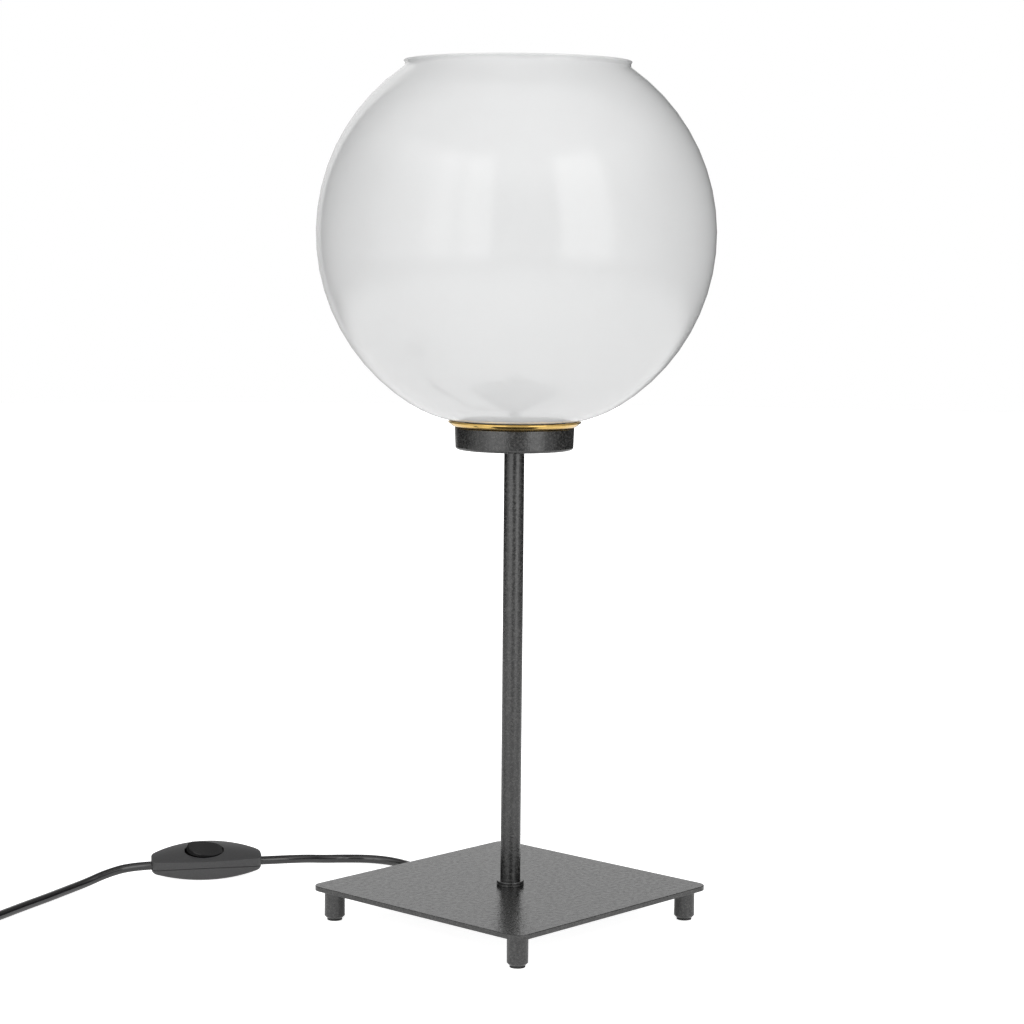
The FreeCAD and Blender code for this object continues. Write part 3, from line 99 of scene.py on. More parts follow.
class Tree:
    """A node tree with short ways to add and link nodes."""

    def __init__(self, tree):
        self.tree = tree

    def add(self, kind, inputs=(), **settings):
        node = self.tree.nodes.new(kind)
        for name, value in settings.items():
            setattr(node, name, value)
        for name, value in dict(inputs).items():
            if isinstance(value, bpy.types.NodeSocket):
                self.tree.links.new(value, node.inputs[name])
            else:
                node.inputs[name].default_value = value
        return node

    def ramp(self, factor, *stops):
        """A colour ramp from (position, grey or colour) stops."""
        node = self.add("ShaderNodeValToRGB", {"Fac": factor})
        while len(node.color_ramp.elements) < len(stops):
            node.color_ramp.elements.new(1.0)
        for element, (position, colour) in zip(node.color_ramp.elements, stops):
            element.position = position
            rgb = (colour,) * 3 if isinstance(colour, (int, float)) else colour
            element.color = (*rgb, 1)
        return node.outputs["Color"]

    def calculate(self, operation, *values):
        inputs = dict(enumerate(values))
        return self.add("ShaderNodeMath", inputs, operation=operation).outputs["Value"]


class Material(Tree):
    """A material with a Principled shader."""

    def __init__(self, name):
        self.material = bpy.data.materials.new(name)
        self.material.use_nodes = True
        super().__init__(self.material.node_tree)
        self.shader = self.tree.nodes["Principled BSDF"]
        self.place = self.add("ShaderNodeTexCoord").outputs["Object"]

    def set(self, **sockets):
        for name, value in sockets.items():
            self.shader.inputs[name.replace("_", " ")].default_value = value

    def plug(self, socket, name):
        self.tree.links.new(socket, self.shader.inputs[name])

    def noise(self, size, detail=2.0, roughness=0.5):
        """A cloud of noise whose grains are about this large, in metres."""
        inputs = {"Vector": self.place, "Scale": 1 / size, "Detail": detail, "Roughness": roughness}
        return self.add("ShaderNodeTexNoise", inputs).outputs["Fac"]

    def bump(self, height, strength, distance, under=None):
        inputs = {"Height": height, "Strength": strength, "Distance": distance}
        if under:
            inputs["Normal"] = under
        return self.add("ShaderNodeBump", inputs).outputs["Normal"]


# Light: a dim room with a bright wall behind the lamp, a pale ceiling and soft boxes in front of it.

WHITE = (1.0, 1.0, 1.0, 1.0)
CAMERA_SIDE = VIEW_AZIMUTH - math.pi / 2
ROOM_LEVEL = 0.06
BOX_LEVEL = 1.92
WALL_LEVEL = 0.84
CEILING_LEVEL = 0.8
SEEN_LEVEL = 1.0

# Brightness round the lamp: degrees from the camera's side, positive to the right, and a share.
BOX_SHARES = [
    (-96, 0),
    (-84, 0.27),
    (-56, 0.45),
    (-50, 0.85),
    (-38, 0.9),
    (-36, 0.5),
    (-33, 0.5),
    (-31, 0.9),
    (-16, 0.9),
    (-12, 0.11),
    (22, 0.11),
    (27, 1),
    (55, 1),
    (59, 0.3),
    (84, 0.15),
    (96, 0),
]
WALL_SHARES = [(-180, 1), (-153, 1), (-149, 0), (170, 0), (174, 1), (180, 1)]
CEILING_SHARES = [(-180, 0.25), (-130, 0.25), (-100, 1), (100, 1), (130, 0.25), (180, 0.25)]

# Brightness by height: degrees above the horizon and a share.
BOX_HEIGHT_SHARES = [(-18, 0), (-10, 1), (40, 1), (46, 0)]
WALL_HEIGHT_SHARES = [(-4, 0.5), (11, 1), (24, 1), (38, 0)]
CEILING_HEIGHT_SHARES = [(20, 0), (38, 1)]

LIGHTS = [
    (BOX_LEVEL, BOX_SHARES, BOX_HEIGHT_SHARES),
    (WALL_LEVEL, WALL_SHARES, WALL_HEIGHT_SHARES),
    (CEILING_LEVEL, CEILING_SHARES, CEILING_HEIGHT_SHARES),
]

FLOOR_RADIUS = 5.0
FLOOR_SINK = 0.4 * MM
FLOOR_ALBEDO = (0.8, 0.8, 0.8, 1.0)
FLOOR_GLOW = 0.38
FLOOR_SEEN_GLOW = 0.9
FLOOR_NEAR = 0.9
FLOOR_FAR = 1.5


def add_world():
    world = bpy.data.worlds.new("room")
    scene.world = world
    world.use_nodes = True
    tree = Tree(world.node_tree)
    direction = tree.add("ShaderNodeTexCoord").outputs["Generated"]
    inputs = {"Vector": direction, "Rotation": (0, 0, -CAMERA_SIDE)}
    turned = tree.add("ShaderNodeMapping", inputs).outputs["Vector"]
    radial = tree.add("ShaderNodeTexGradient", {"Vector": turned}, gradient_type="RADIAL")
    rise = tree.add("ShaderNodeSeparateXYZ", {"Vector": direction}).outputs["Z"]
    height = tree.calculate("MULTIPLY_ADD", rise, 0.5, 0.5)
    level = ROOM_LEVEL
    for strength, around, upward in LIGHTS:
        turns = [(0.5 + angle / 360, share) for angle, share in around]
        rises = [(0.5 + math.sin(math.radians(angle)) / 2, share) for angle, share in upward]
        turns = tree.ramp(radial.outputs["Fac"], *turns)
        shape = tree.calculate("MULTIPLY", turns, tree.ramp(height, *rises))
        level = tree.calculate("MULTIPLY_ADD", shape, strength, level)
    lit = world.node_tree.nodes["Background"]
    lit.inputs["Color"].default_value = WHITE
    world.node_tree.links.new(level, lit.inputs["Strength"])
    seen = tree.add("ShaderNodeBackground", {"Color": WHITE, "Strength": SEEN_LEVEL})
    to_camera = tree.add("ShaderNodeLightPath").outputs["Is Camera Ray"]
    inputs = {0: to_camera, 1: lit.outputs["Background"], 2: seen.outputs["Background"]}
    mixed = tree.add("ShaderNodeMixShader", inputs).outputs["Shader"]
    world.node_tree.links.new(mixed, world.node_tree.nodes["World Output"].inputs["Surface"])


def floor_paint():
    """A glowing white floor with a faint shadow, clear from below. Only the camera sees its far part."""
    material = bpy.data.materials.new("floor_paint")
    material.use_nodes = True
    tree = Tree(material.node_tree)
    to_camera = tree.add("ShaderNodeLightPath").outputs["Is Camera Ray"]
    glow = tree.calculate("MULTIPLY_ADD", to_camera, FLOOR_SEEN_GLOW - FLOOR_GLOW, FLOOR_GLOW)
    emission = tree.add("ShaderNodeEmission", {"Color": WHITE, "Strength": glow})
    paint = tree.add("ShaderNodeBsdfDiffuse", {"Color": FLOOR_ALBEDO})
    both = tree.add("ShaderNodeAddShader", {0: emission.outputs["Emission"], 1: paint.outputs["BSDF"]})
    clear = tree.add("ShaderNodeBsdfTransparent")
    place = tree.add("ShaderNodeTexCoord").outputs["Object"]
    away = tree.add("ShaderNodeVectorMath", {0: place}, operation="LENGTH").outputs["Value"]
    inputs = {"Value": away, "From Min": FLOOR_NEAR, "From Max": FLOOR_FAR}
    away = tree.add("ShaderNodeMapRange", inputs).outputs["Result"]
    unseen = tree.calculate("SUBTRACT", 1.0, to_camera)
    behind = tree.add("ShaderNodeNewGeometry").outputs["Backfacing"]
    gone = tree.calculate("MAXIMUM", behind, tree.calculate("MULTIPLY", away, unseen))
    inputs = {0: gone, 1: both.outputs["Shader"], 2: clear.outputs["BSDF"]}
    mixed = tree.add("ShaderNodeMixShader", inputs).outputs["Shader"]
    material.node_tree.links.new(mixed, material.node_tree.nodes["Material Output"].inputs["Surface"])
    return material


def add_floor():
    floor = lathe("floor", [Vector((0, -FLOOR_SINK)), Vector((FLOOR_RADIUS, -FLOOR_SINK))])
    floor.data.flip_normals()
    floor.data.materials.append(floor_paint())


# Meshes: outlines of (across, up) points, turned about an upright axis.

SEGMENTS = 128
ARC_STEP = math.radians(6)
SHARP_TURN = math.radians(30)
EASE_STEPS = 3
EDGE_STEPS = 3
SUPPORT_SHARE = 2.5


def arc_points(start, end, radius, side):
    """Points after start along the short arc to end, its centre left of the way for side 1."""
    chord = end - start
    across = Vector((-chord.y, chord.x)).normalized() * side
    centre = (start + end) / 2 + across * math.sqrt(max(radius**2 - chord.length_squared / 4, 0))
    first = math.atan2(start.y - centre.y, start.x - centre.x)
    last = math.atan2(end.y - centre.y, end.x - centre.x)
    sweep = (last - first + math.pi) % math.tau - math.pi
    steps = max(2, math.ceil(abs(sweep) / ARC_STEP))
    turns = [first + sweep * k / steps for k in range(1, steps)]
    return [centre + Vector((math.cos(t), math.sin(t))) * radius for t in turns] + [end]


def outline(corners):
    """Corners are (across, up), or (across, up, side, radius) where an arc runs on from there."""
    ends = [Vector(corner[:2]) for corner in corners]
    points = []
    for corner, start, end in zip(corners, ends, ends[1:] + ends[:1]):
        points += arc_points(start, end, corner[3], corner[2]) if len(corner) == 4 else [end]
    return points[-1:] + points[:-1]


def eased(points, radius):
    """The outline with its sharp corners rounded, and a point beside each to keep the flats flat."""
    result = []
    for before, corner, after in zip(points[-1:] + points[:-1], points, points[1:] + points[:1]):
        back, ahead = before - corner, after - corner
        turn = math.pi - back.angle(ahead)
        if turn < SHARP_TURN or corner.x < radius:
            result.append(corner)
            continue
        cut = min(radius * math.tan(turn / 2), back.length / 3, ahead.length / 3)
        start, end = corner + back.normalized() * cut, corner + ahead.normalized() * cut
        inward = (back.normalized() + ahead.normalized()).normalized()
        centre = corner + inward * (cut / math.sin(turn / 2))
        if back.length > 2 * SUPPORT_SHARE * cut:
            result.append(corner + back.normalized() * cut * SUPPORT_SHARE)
        spokes = [start - centre, end - centre]
        for k in range(EASE_STEPS + 1):
            mixed = spokes[0].lerp(spokes[1], k / EASE_STEPS).normalized()
            result.append(centre + mixed * spokes[0].length)
        if ahead.length > 2 * SUPPORT_SHARE * cut:
            result.append(corner + ahead.normalized() * cut * SUPPORT_SHARE)
    return result


def new_object(name, data):
    piece = bpy.data.objects.new(name, data)
    scene.collection.objects.link(piece)
    return piece


def lathe(name, points, centre=(0, 0), segments=SEGMENTS, closed=False, warp=None):
    """A turned surface. A warp gives each point its radius from its angle, radius and height."""
    vertices, faces, rows = [], [], []
    for radius, height in points:
        if radius <= 0:
            rows.append([len(vertices)] * segments)
            vertices.append((*centre, height))
            continue
        rows.append(list(range(len(vertices), len(vertices) + segments)))
        for i in range(segments):
            angle = math.tau * i / segments
            reach = warp(angle, radius, height) if warp else radius
            x, y = reach * math.cos(angle), reach * math.sin(angle)
            vertices.append((centre[0] + x, centre[1] + y, height))
    pairs = list(zip(rows, rows[1:]))
    if closed:
        pairs.append((rows[-1], rows[0]))
    for low, high in pairs:
        for i in range(segments):
            j = (i + 1) % segments
            corners = [low[i], low[j], high[j], high[i]]
            kept = [corner for k, corner in enumerate(corners) if corner != corners[k - 1]]
            if len(kept) > 2:
                faces.append(kept)
    mesh = bpy.data.meshes.new(name)
    mesh.from_pydata(vertices, [], faces)
    mesh.shade_smooth()
    mesh.set_sharp_from_angle(angle=SHARP_TURN)
    return new_object(name, mesh)


def thread(depth, low, high, least=0.0):
    """The bulb's round screw thread, cut into a turned surface between two heights."""
    def warp(angle, radius, height):
        ends = min((height - low) / THREAD_FADE, (high - height) / THREAD_FADE, 1)
        wave = (1 + math.cos(math.tau * height / THREAD_PITCH - angle)) / 2
        return radius - depth * wave * max(ends, 0) if radius > least else radius
    return warp


def ribs(count, depth, low, high, least):
    """Upright grip ribs cut into the outside of a turned surface between two heights."""
    def warp(angle, radius, height):
        if not low < height < high or radius < least:
            return radius
        return radius - depth * (1 - abs(math.sin(angle * count / 2)))
    return warp


def levels(low, high, step):
    """Heights from low to high in even steps of at most this size."""
    count = math.ceil((high - low) / step)
    return [low + (high - low) * k / count for k in range(count + 1)]


# Materials.

COAT_GRAIN = 1.3 * MM
COAT_SWELL = 2.6 * MM
COAT_GRAIN_DEPTH = 0.1 * MM
COAT_SWELL_DEPTH = 0.11 * MM
BRASS_HAZE = 12 * MM
BRASS_GRAIN = 0.8 * MM
BRASS_DEPTH = 0.01 * MM
MILK_DEPTH = 5 * MM
METAL_DEPTH = 0.02 * MM
MOULD_CLOUD = 20 * MM
MOULD_DEPTH = 0.03 * MM


def shaded(colour, share):
    """The colour made darker or paler by a share."""
    return tuple(min(part * share, 1) for part in colour)


def powder_coat():
    """Dark grey textured paint: a fine grain over a slight swell, which breaks up the gloss."""
    paint = Material("powder_coat")
    grain = paint.noise(COAT_GRAIN, 1.5, 0.6)
    swell = paint.noise(COAT_SWELL, 2.0, 0.7)
    tint = paint.ramp(grain, (0.36, 0.004), (0.5, 0.011), (0.68, (0.045, 0.044, 0.043)))
    paint.plug(tint, "Base Color")
    paint.plug(paint.ramp(swell, (0.36, 0.21), (0.64, 0.33)), "Roughness")
    uneven = paint.bump(swell, 1.0, COAT_SWELL_DEPTH)
    paint.plug(paint.bump(grain, 0.35, COAT_GRAIN_DEPTH, uneven), "Normal")
    paint.set(Specular_IOR_Level=1.0)
    return paint.material


def polished_brass():
    """Bright brass with a faint haze."""
    brass = Material("polished_brass")
    haze = brass.noise(BRASS_HAZE, 4.0, 0.6)
    fine = brass.noise(BRASS_GRAIN, 2.0, 0.5)
    brass.plug(brass.ramp(haze, (0.3, (0.83, 0.55, 0.17)), (0.7, (0.88, 0.6, 0.2))), "Base Color")
    brass.plug(brass.ramp(haze, (0.3, 0.06), (0.75, 0.12)), "Roughness")
    brass.plug(brass.bump(fine, 0.04, BRASS_DEPTH), "Normal")
    brass.set(Metallic=1.0)
    return brass.material


def opal_glass(name, colour, cloud_size, skin):
    """Milk-white glass under a clear bright skin."""
    glass = Material(name)
    cloud = glass.noise(cloud_size, 2.0, 0.5)
    glass.plug(glass.ramp(cloud, (0.3, shaded(colour, 0.975)), (0.7, colour)), "Base Color")
    glass.plug(glass.ramp(cloud, (0.3, 0.48), (0.7, 0.52)), "Roughness")
    glass.set(
        Coat_Weight=skin,
        Specular_IOR_Level=0.15,
        Subsurface_Weight=0.8,
        Subsurface_Radius=(1.0, 1.0, 1.0),
        Subsurface_Scale=MILK_DEPTH,
        Coat_Roughness=0.1,
        IOR=1.5,
    )
    return glass.material


def metal(name, colour, smooth, rough, grain=3 * MM):
    """Plated or turned metal with a worn, uneven gloss."""
    plate = Material(name)
    cloud = plate.noise(grain, 4.0, 0.6)
    plate.plug(plate.ramp(cloud, (0.3, shaded(colour, 0.82)), (0.7, colour)), "Base Color")
    plate.plug(plate.ramp(cloud, (0.3, smooth), (0.7, rough)), "Roughness")
    plate.plug(plate.bump(cloud, 0.15, METAL_DEPTH), "Normal")
    plate.set(Metallic=1.0)
    return plate.material


def plastic(name, colour, roughness, grain=1.1 * MM, depth=0.25, gloss=0.5):
    """Moulded plastic with a fine spark-eroded grain and a faint unevenness."""
    mould = Material(name)
    fine = mould.noise(grain, 3.0, 0.6)
    cloud = mould.noise(MOULD_CLOUD, 2.0, 0.5)
    dark, pale = shaded(colour, 0.85), shaded(colour, 1.2)
    mould.plug(mould.ramp(fine, (0.3, dark), (0.7, pale)), "Base Color")
    mould.plug(mould.ramp(cloud, (0.3, roughness * 0.92), (0.7, roughness * 1.1)), "Roughness")
    mould.plug(mould.bump(fine, depth, MOULD_DEPTH), "Normal")
    mould.set(Specular_IOR_Level=gloss)
    return mould.material


def make_materials():
    return {
        "coated_metal": powder_coat(),
        "brass": polished_brass(),
        "opal_glass": opal_glass("opal_glass", (0.805, 0.811, 0.812), 90 * MM, 1.0),
        "bulb_glass": opal_glass("frosted_bulb", (0.88, 0.88, 0.865), 25 * MM, 0.4),
        "steel": metal("zinc_steel", (0.56, 0.57, 0.6), 0.22, 0.38),
        "nickel": metal("nickel", (0.7, 0.68, 0.64), 0.12, 0.24),
        "contact_brass": metal("contact_brass", (0.76, 0.57, 0.26), 0.18, 0.34),
        "holder_plastic": plastic("phenolic", (0.018, 0.018, 0.018), 0.28, 2 * MM, 0.05),
        "core_ceramic": opal_glass("core_ceramic", (0.74, 0.72, 0.67), 8 * MM, 0.6),
        "rubber": plastic("rubber", (0.02, 0.02, 0.02), 0.72, 1 * MM, 0.4),
        "cord_sheath": plastic("cord_sheath", (0.007, 0.007, 0.0075), 0.15, 1.4 * MM, 0.08, 0.85),
        "wire_brown": plastic("wire_brown", (0.1, 0.04, 0.02), 0.4, 1.4 * MM, 0.1),
        "wire_blue": plastic("wire_blue", (0.02, 0.07, 0.3), 0.4, 1.4 * MM, 0.1),
        "switch_shell": plastic("switch_shell", (0.05, 0.05, 0.051), 0.36, 0.8 * MM, 0.3),
        "rocker_plastic": plastic("rocker_plastic", (0.003, 0.003, 0.0032), 0.13, 1.2 * MM, 0.04, 0.6),
        "plug_plastic": plastic("plug_plastic", (0.012, 0.012, 0.013), 0.42, 0.9 * MM, 0.25),
    }


BEVELLED = {
    "base_nut": 0.3 * MM,
    "cup_nut": 0.3 * MM,
    "clamp_block": 0.3 * MM,
    "clamp_bar": 0.3 * MM,
    "holder_body": 0.25 * MM,
    "coil_tie": 0.2 * MM,
    "switch_rocker": 0.7 * MM,
    "switch_upper_case": 0.6 * MM,
    "switch_lower_case": 0.5 * MM,
    "base_plate": 0.7 * MM,
}


def soften(piece, width):
    """Rounded edges that catch the light."""
    bevel = piece.modifiers.new("edges", "BEVEL")
    bevel.width = width
    bevel.segments = EDGE_STEPS
    bevel.limit_method = "ANGLE"
    bevel.angle_limit = SHARP_TURN
    piece.modifiers.new("normals", "WEIGHTED_NORMAL").keep_sharp = True


def dress_nodes(materials):
    """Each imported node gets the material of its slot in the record."""
    for part in frame["record"]["subparts"]:
        node = frame["nodes"][part["node"]]
        node.data.materials.clear()
        node.data.materials.append(materials[part["material_slot"]])
    for name, width in BEVELLED.items():
        soften(frame["nodes"][name], width)


def stand_in(piece, body, slot, materials, *nodes):
    """Let a piece ride on a body in a slot's material, in the place of some nodes."""
    piece.data.materials.append(materials[slot])
    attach(piece, body)
    if nodes:
        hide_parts(*nodes)
    return piece


# Turned metal: the stem, its collar, the feet, the cup and the brass dish.

EDGE_ROUND = 0.25 * MM

TUBE_RADIUS = 6.0 * MM
TUBE_BORE = 4.5 * MM
COLLAR_RADIUS = 8.2 * MM
COLLAR_RING = 1.3 * MM
COLLAR_GROOVE = 0.4 * MM
COLLAR_GROOVE_DEPTH = 0.6 * MM
COLLAR_ROUND = 0.5 * MM
FOOT_RADIUS = 6.1 * MM
FOOT_BEVEL = 1.6 * MM
FOOT_LIFT = 1.0 * MM
CUP_FOOT_RADIUS = 34.95 * MM
CUP_RIM_RADIUS = 35.4 * MM
CUP_WALL = 1.2 * MM
CUP_BEND = 1.8 * MM
CUP_ROUND = 0.4 * MM
PIPE_HOLE = 5.05 * MM
DISH_WALL = 0.8 * MM
DISH_FLAT = 33.2 * MM
DISH_HOLE = 20.6 * MM
DISH_BEND = 7.0 * MM
DISH_ANGLE = math.radians(51.0)
DISH_LIP = 0.66 * MM


def add_stem(materials):
    low, high = (corner.z for corner in box("stem_tube"))
    tube = [(TUBE_BORE, low), (TUBE_RADIUS, low), (TUBE_RADIUS, high), (TUBE_BORE, high)]
    tube = lathe("stem", outline(tube), closed=True)
    stand_in(tube, "lamp", "coated_metal", materials, "stem_tube")
    low, high = (corner.z for corner in box("stem_collar"))
    groove = COLLAR_RADIUS - COLLAR_GROOVE_DEPTH
    collar = outline([
        (TUBE_RADIUS, low),
        (COLLAR_RADIUS, low),
        (COLLAR_RADIUS, low + COLLAR_RING),
        (groove, low + COLLAR_RING),
        (groove, low + COLLAR_RING + COLLAR_GROOVE),
        (COLLAR_RADIUS, low + COLLAR_RING + COLLAR_GROOVE),
        (COLLAR_RADIUS, high - COLLAR_ROUND, 1, COLLAR_ROUND),
        (COLLAR_RADIUS - COLLAR_ROUND, high),
        (TUBE_RADIUS, high),
    ])
    collar = lathe("collar", eased(collar, COLLAR_GROOVE / 2), closed=True)
    stand_in(collar, "lamp", "coated_metal", materials, "stem_collar")


def add_feet(materials):
    for name in ("foot_front", "foot_left", "foot_right", "foot_back"):
        low, high = box(name)
        centre = (low + high) / 2
        foot = outline([
            (0, FOOT_LIFT),
            (FOOT_RADIUS - FOOT_BEVEL, FOOT_LIFT),
            (FOOT_RADIUS, FOOT_LIFT + FOOT_BEVEL),
            (FOOT_RADIUS, high.z),
            (0, high.z),
        ])
        foot = lathe(f"turned_{name}", eased(foot, EDGE_ROUND), (centre.x, centre.y), closed=True)
        stand_in(foot, "lamp", "coated_metal", materials, name)


def add_cup(materials):
    low, high = (corner.z for corner in box("holder_cup"))
    cup = outline([
        (PIPE_HOLE, low),
        (CUP_FOOT_RADIUS - CUP_BEND, low, 1, CUP_BEND),
        (CUP_FOOT_RADIUS, low + CUP_BEND),
        (CUP_RIM_RADIUS, high),
        (CUP_RIM_RADIUS - CUP_WALL, high),
        (CUP_FOOT_RADIUS - CUP_WALL, low + CUP_BEND, -1, CUP_BEND - CUP_WALL),
        (CUP_FOOT_RADIUS - CUP_BEND, low + CUP_WALL),
        (PIPE_HOLE, low + CUP_WALL),
    ])
    cup = lathe("cup", eased(cup, CUP_ROUND), closed=True)
    stand_in(cup, "lamp", "coated_metal", materials, "holder_cup")


def add_dish(materials):
    low = box("brass_dish")[0].z
    sine, cosine = math.sin(DISH_ANGLE), math.cos(DISH_ANGLE)
    inside, half = DISH_BEND - DISH_WALL, DISH_WALL / 2
    reach = math.sqrt(DISH_LIP**2 - half**2) + DISH_LIP
    across = DISH_FLAT + (DISH_BEND - half) * sine + reach * cosine
    up = low + DISH_BEND - (DISH_BEND - half) * cosine + reach * sine
    dish = outline([
        (DISH_HOLE, low),
        (DISH_FLAT, low, 1, DISH_BEND),
        (DISH_FLAT + DISH_BEND * sine, low + DISH_BEND - DISH_BEND * cosine, 1, DISH_LIP),
        (across, up, 1, DISH_LIP),
        (DISH_FLAT + inside * sine, low + DISH_BEND - inside * cosine, -1, inside),
        (DISH_FLAT, low + DISH_WALL),
        (DISH_HOLE, low + DISH_WALL),
    ])
    dish = lathe("dish", dish, closed=True)
    stand_in(dish, "lamp", "brass", materials, "brass_dish")


# Glass: the globe with its seat, sphere and flared neck, and the bulb with its threaded base.

GLOBE_RADIUS = 117.5 * MM
GLOBE_WALL = 3.0 * MM
GLOBE_SINK = 7.0 * MM
GLOBE_SEAT = 25.0 * MM
GLOBE_HOLE = 20.8 * MM
NECK_RADIUS = 66.0 * MM
NECK_BEND = 2.6 * MM
LIP_FLARE = 0.7 * MM
LIP_RISE = 2.12 * MM
RIM_ROUND = 0.6 * MM
GLOBE_SEGMENTS = 256

BULB_RADIUS = 30.0 * MM
BULB_NECK = 13.4 * MM
BULB_TURN = 60.0 * MM
BULB_ROOT = 12.6 * MM
BASE_RADIUS = 13.1 * MM
BASE_FOOT = 10.4 * MM
THREAD_PITCH = 3.625 * MM
THREAD_FADE = 1.2 * MM
THREAD_DEPTH = 0.85 * MM
THREAD_STEP = 0.25 * MM
SHELL_HOLE = 8.0 * MM
SHELL_REACH = 13.9 * MM
SHELL_WALL = 0.4 * MM
SHELL_THREAD = 0.25 * MM
RING_RADIUS = 27.0 * MM
RING_GRIP = 22.6 * MM
RING_FLANGE = 2.0 * MM
RING_BORE = 19.8 * MM
RING_RIBS = 40
RIB_DEPTH = 0.7 * MM
RIB_SEGMENTS = 8


def add_globe(materials):
    seat = box("glass_globe")[0].z
    rise = GLOBE_RADIUS - GLOBE_SINK
    bend = (GLOBE_RADIUS**2 - rise**2 - GLOBE_SEAT**2) / (2 * (GLOBE_RADIUS - rise))
    middle = seat + rise
    span = GLOBE_RADIUS + NECK_BEND
    height = math.sqrt(span**2 - (NECK_RADIUS + NECK_BEND) ** 2)
    throat = middle + height
    rim, lip = throat + LIP_RISE, NECK_RADIUS + LIP_FLARE
    flare_rise = LIP_RISE - RIM_ROUND
    flare = (LIP_FLARE**2 + flare_rise**2) / (2 * LIP_FLARE)
    inner = GLOBE_RADIUS - GLOBE_WALL

    def low_meet(shell):
        share = shell / (GLOBE_RADIUS - bend)
        return GLOBE_SEAT * share, middle - (rise - bend) * share

    def high_meet(shell):
        return (NECK_RADIUS + NECK_BEND) * shell / span, middle + height * shell / span

    globe = outline([
        (GLOBE_HOLE, seat),
        (GLOBE_SEAT, seat, 1, bend),
        (*low_meet(GLOBE_RADIUS), 1, GLOBE_RADIUS),
        (*high_meet(GLOBE_RADIUS), -1, NECK_BEND),
        (NECK_RADIUS, throat, -1, flare),
        (lip, rim - RIM_ROUND, 1, RIM_ROUND),
        (lip - RIM_ROUND, rim),
        (lip - GLOBE_WALL + RIM_ROUND, rim, 1, RIM_ROUND),
        (lip - GLOBE_WALL, rim - RIM_ROUND),
        (NECK_RADIUS - GLOBE_WALL, throat, 1, NECK_BEND + GLOBE_WALL),
        (*high_meet(inner), -1, inner),
        (*low_meet(inner), -1, bend - GLOBE_WALL),
        (GLOBE_SEAT, seat + GLOBE_WALL),
        (GLOBE_HOLE, seat + GLOBE_WALL),
    ])
    globe = lathe("globe", globe, segments=GLOBE_SEGMENTS, closed=True)
    stand_in(globe, "lamp", "opal_glass", materials, "glass_globe")


def add_bulb(materials):
    foot = box("bulb_glass")[0].z
    low, high = (corner.z for corner in box("bulb_base"))
    crest = low + BASE_RADIUS - BASE_FOOT
    base = [Vector((0, low)), Vector((BASE_FOOT, low)), Vector((BASE_RADIUS, crest))]
    base += [Vector((BASE_RADIUS, height)) for height in levels(crest, high, THREAD_STEP)[1:]]
    base += [Vector((BULB_ROOT, high)), Vector((BULB_ROOT, foot)), Vector((0, foot))]
    cut = thread(THREAD_DEPTH, crest, high - THREAD_PITCH, BULB_ROOT)
    base = lathe("threaded_base", base, warp=cut)
    stand_in(base, "bulb", "nickel", materials, "bulb_base")
    span = BULB_RADIUS + BULB_TURN
    rise = math.sqrt(span**2 - (BULB_NECK + BULB_TURN) ** 2)
    middle = high + rise
    share = BULB_RADIUS / span
    root = BULB_ROOT - EDGE_ROUND
    glass = outline([
        (0, foot),
        (root, foot),
        (root, high),
        (BULB_NECK, high, -1, BULB_TURN),
        ((BULB_NECK + BULB_TURN) * share, middle - rise * share, 1, BULB_RADIUS),
        (BULB_RADIUS, middle, 1, BULB_RADIUS),
        (0, middle + BULB_RADIUS),
    ])
    stand_in(lathe("bulb_envelope", glass), "bulb", "bulb_glass", materials, "bulb_glass")


def add_holder(materials):
    low, high = (corner.z for corner in box("screw_shell"))
    bore = SHELL_REACH - SHELL_WALL
    shell = [Vector((SHELL_HOLE, low)), Vector((SHELL_REACH, low))]
    shell += [Vector((SHELL_REACH, height)) for height in levels(low, high, THREAD_STEP)[1:]]
    inside = levels(low + SHELL_WALL, high, THREAD_STEP)
    shell += [Vector((bore, height)) for height in reversed(inside)]
    shell.append(Vector((SHELL_HOLE, low + SHELL_WALL)))
    cut = thread(SHELL_THREAD, low + SHELL_WALL, high)
    shell = lathe("threaded_shell", shell, closed=True, warp=cut)
    stand_in(shell, "lamp", "nickel", materials, "screw_shell")
    low, high = (corner.z for corner in box("shade_ring"))
    flange = low + RING_FLANGE
    ring = outline([
        (RING_BORE, low),
        (RING_RADIUS, low),
        (RING_RADIUS, flange),
        (RING_GRIP, flange),
        (RING_GRIP, high),
        (RING_BORE, high),
    ])
    cut = ribs(RING_RIBS, RIB_DEPTH, flange + EDGE_ROUND, high, (RING_GRIP + RING_BORE) / 2)
    ring = eased(ring, EDGE_ROUND)
    ring = lathe("ribbed_ring", ring, segments=RING_RIBS * RIB_SEGMENTS, closed=True, warp=cut)
    stand_in(ring, "lamp", "holder_plastic", materials, "shade_ring")


# Cords: one smooth curve each, through the same points that the solids follow.

CORD = 5.5 * MM
CORD_LIFT = 0.05 * MM
CORD_STEPS = 8
CORD_ROUNDNESS = 6
LYING = CORD / 2 + CORD_LIFT

SWITCH_PLACE = Vector((-57.2 * MM, 212.3 * MM, 0))
SWITCH_ROLL = math.radians(17.0)
SWITCH_HEADING = math.radians(-33.8)
SWITCH_WIDTH = 27.0 * MM
SWITCH_EDGE = 2.6 * MM
SWITCH_CORD_HEIGHT = 5.6 * MM
SWITCH_INSIDE = (35.0 - 5.5) * MM
RIGHT_RUN = 19.5 * MM
LEFT_RUN = 18.5 * MM

LEAD_HEADING = math.radians(68.0)
CLAMP_REACH = 45.0 * MM
LEAD_HEIGHT = 7.5 * MM
EXIT = Vector((CLAMP_REACH * math.cos(LEAD_HEADING), CLAMP_REACH * math.sin(LEAD_HEADING), LEAD_HEIGHT))

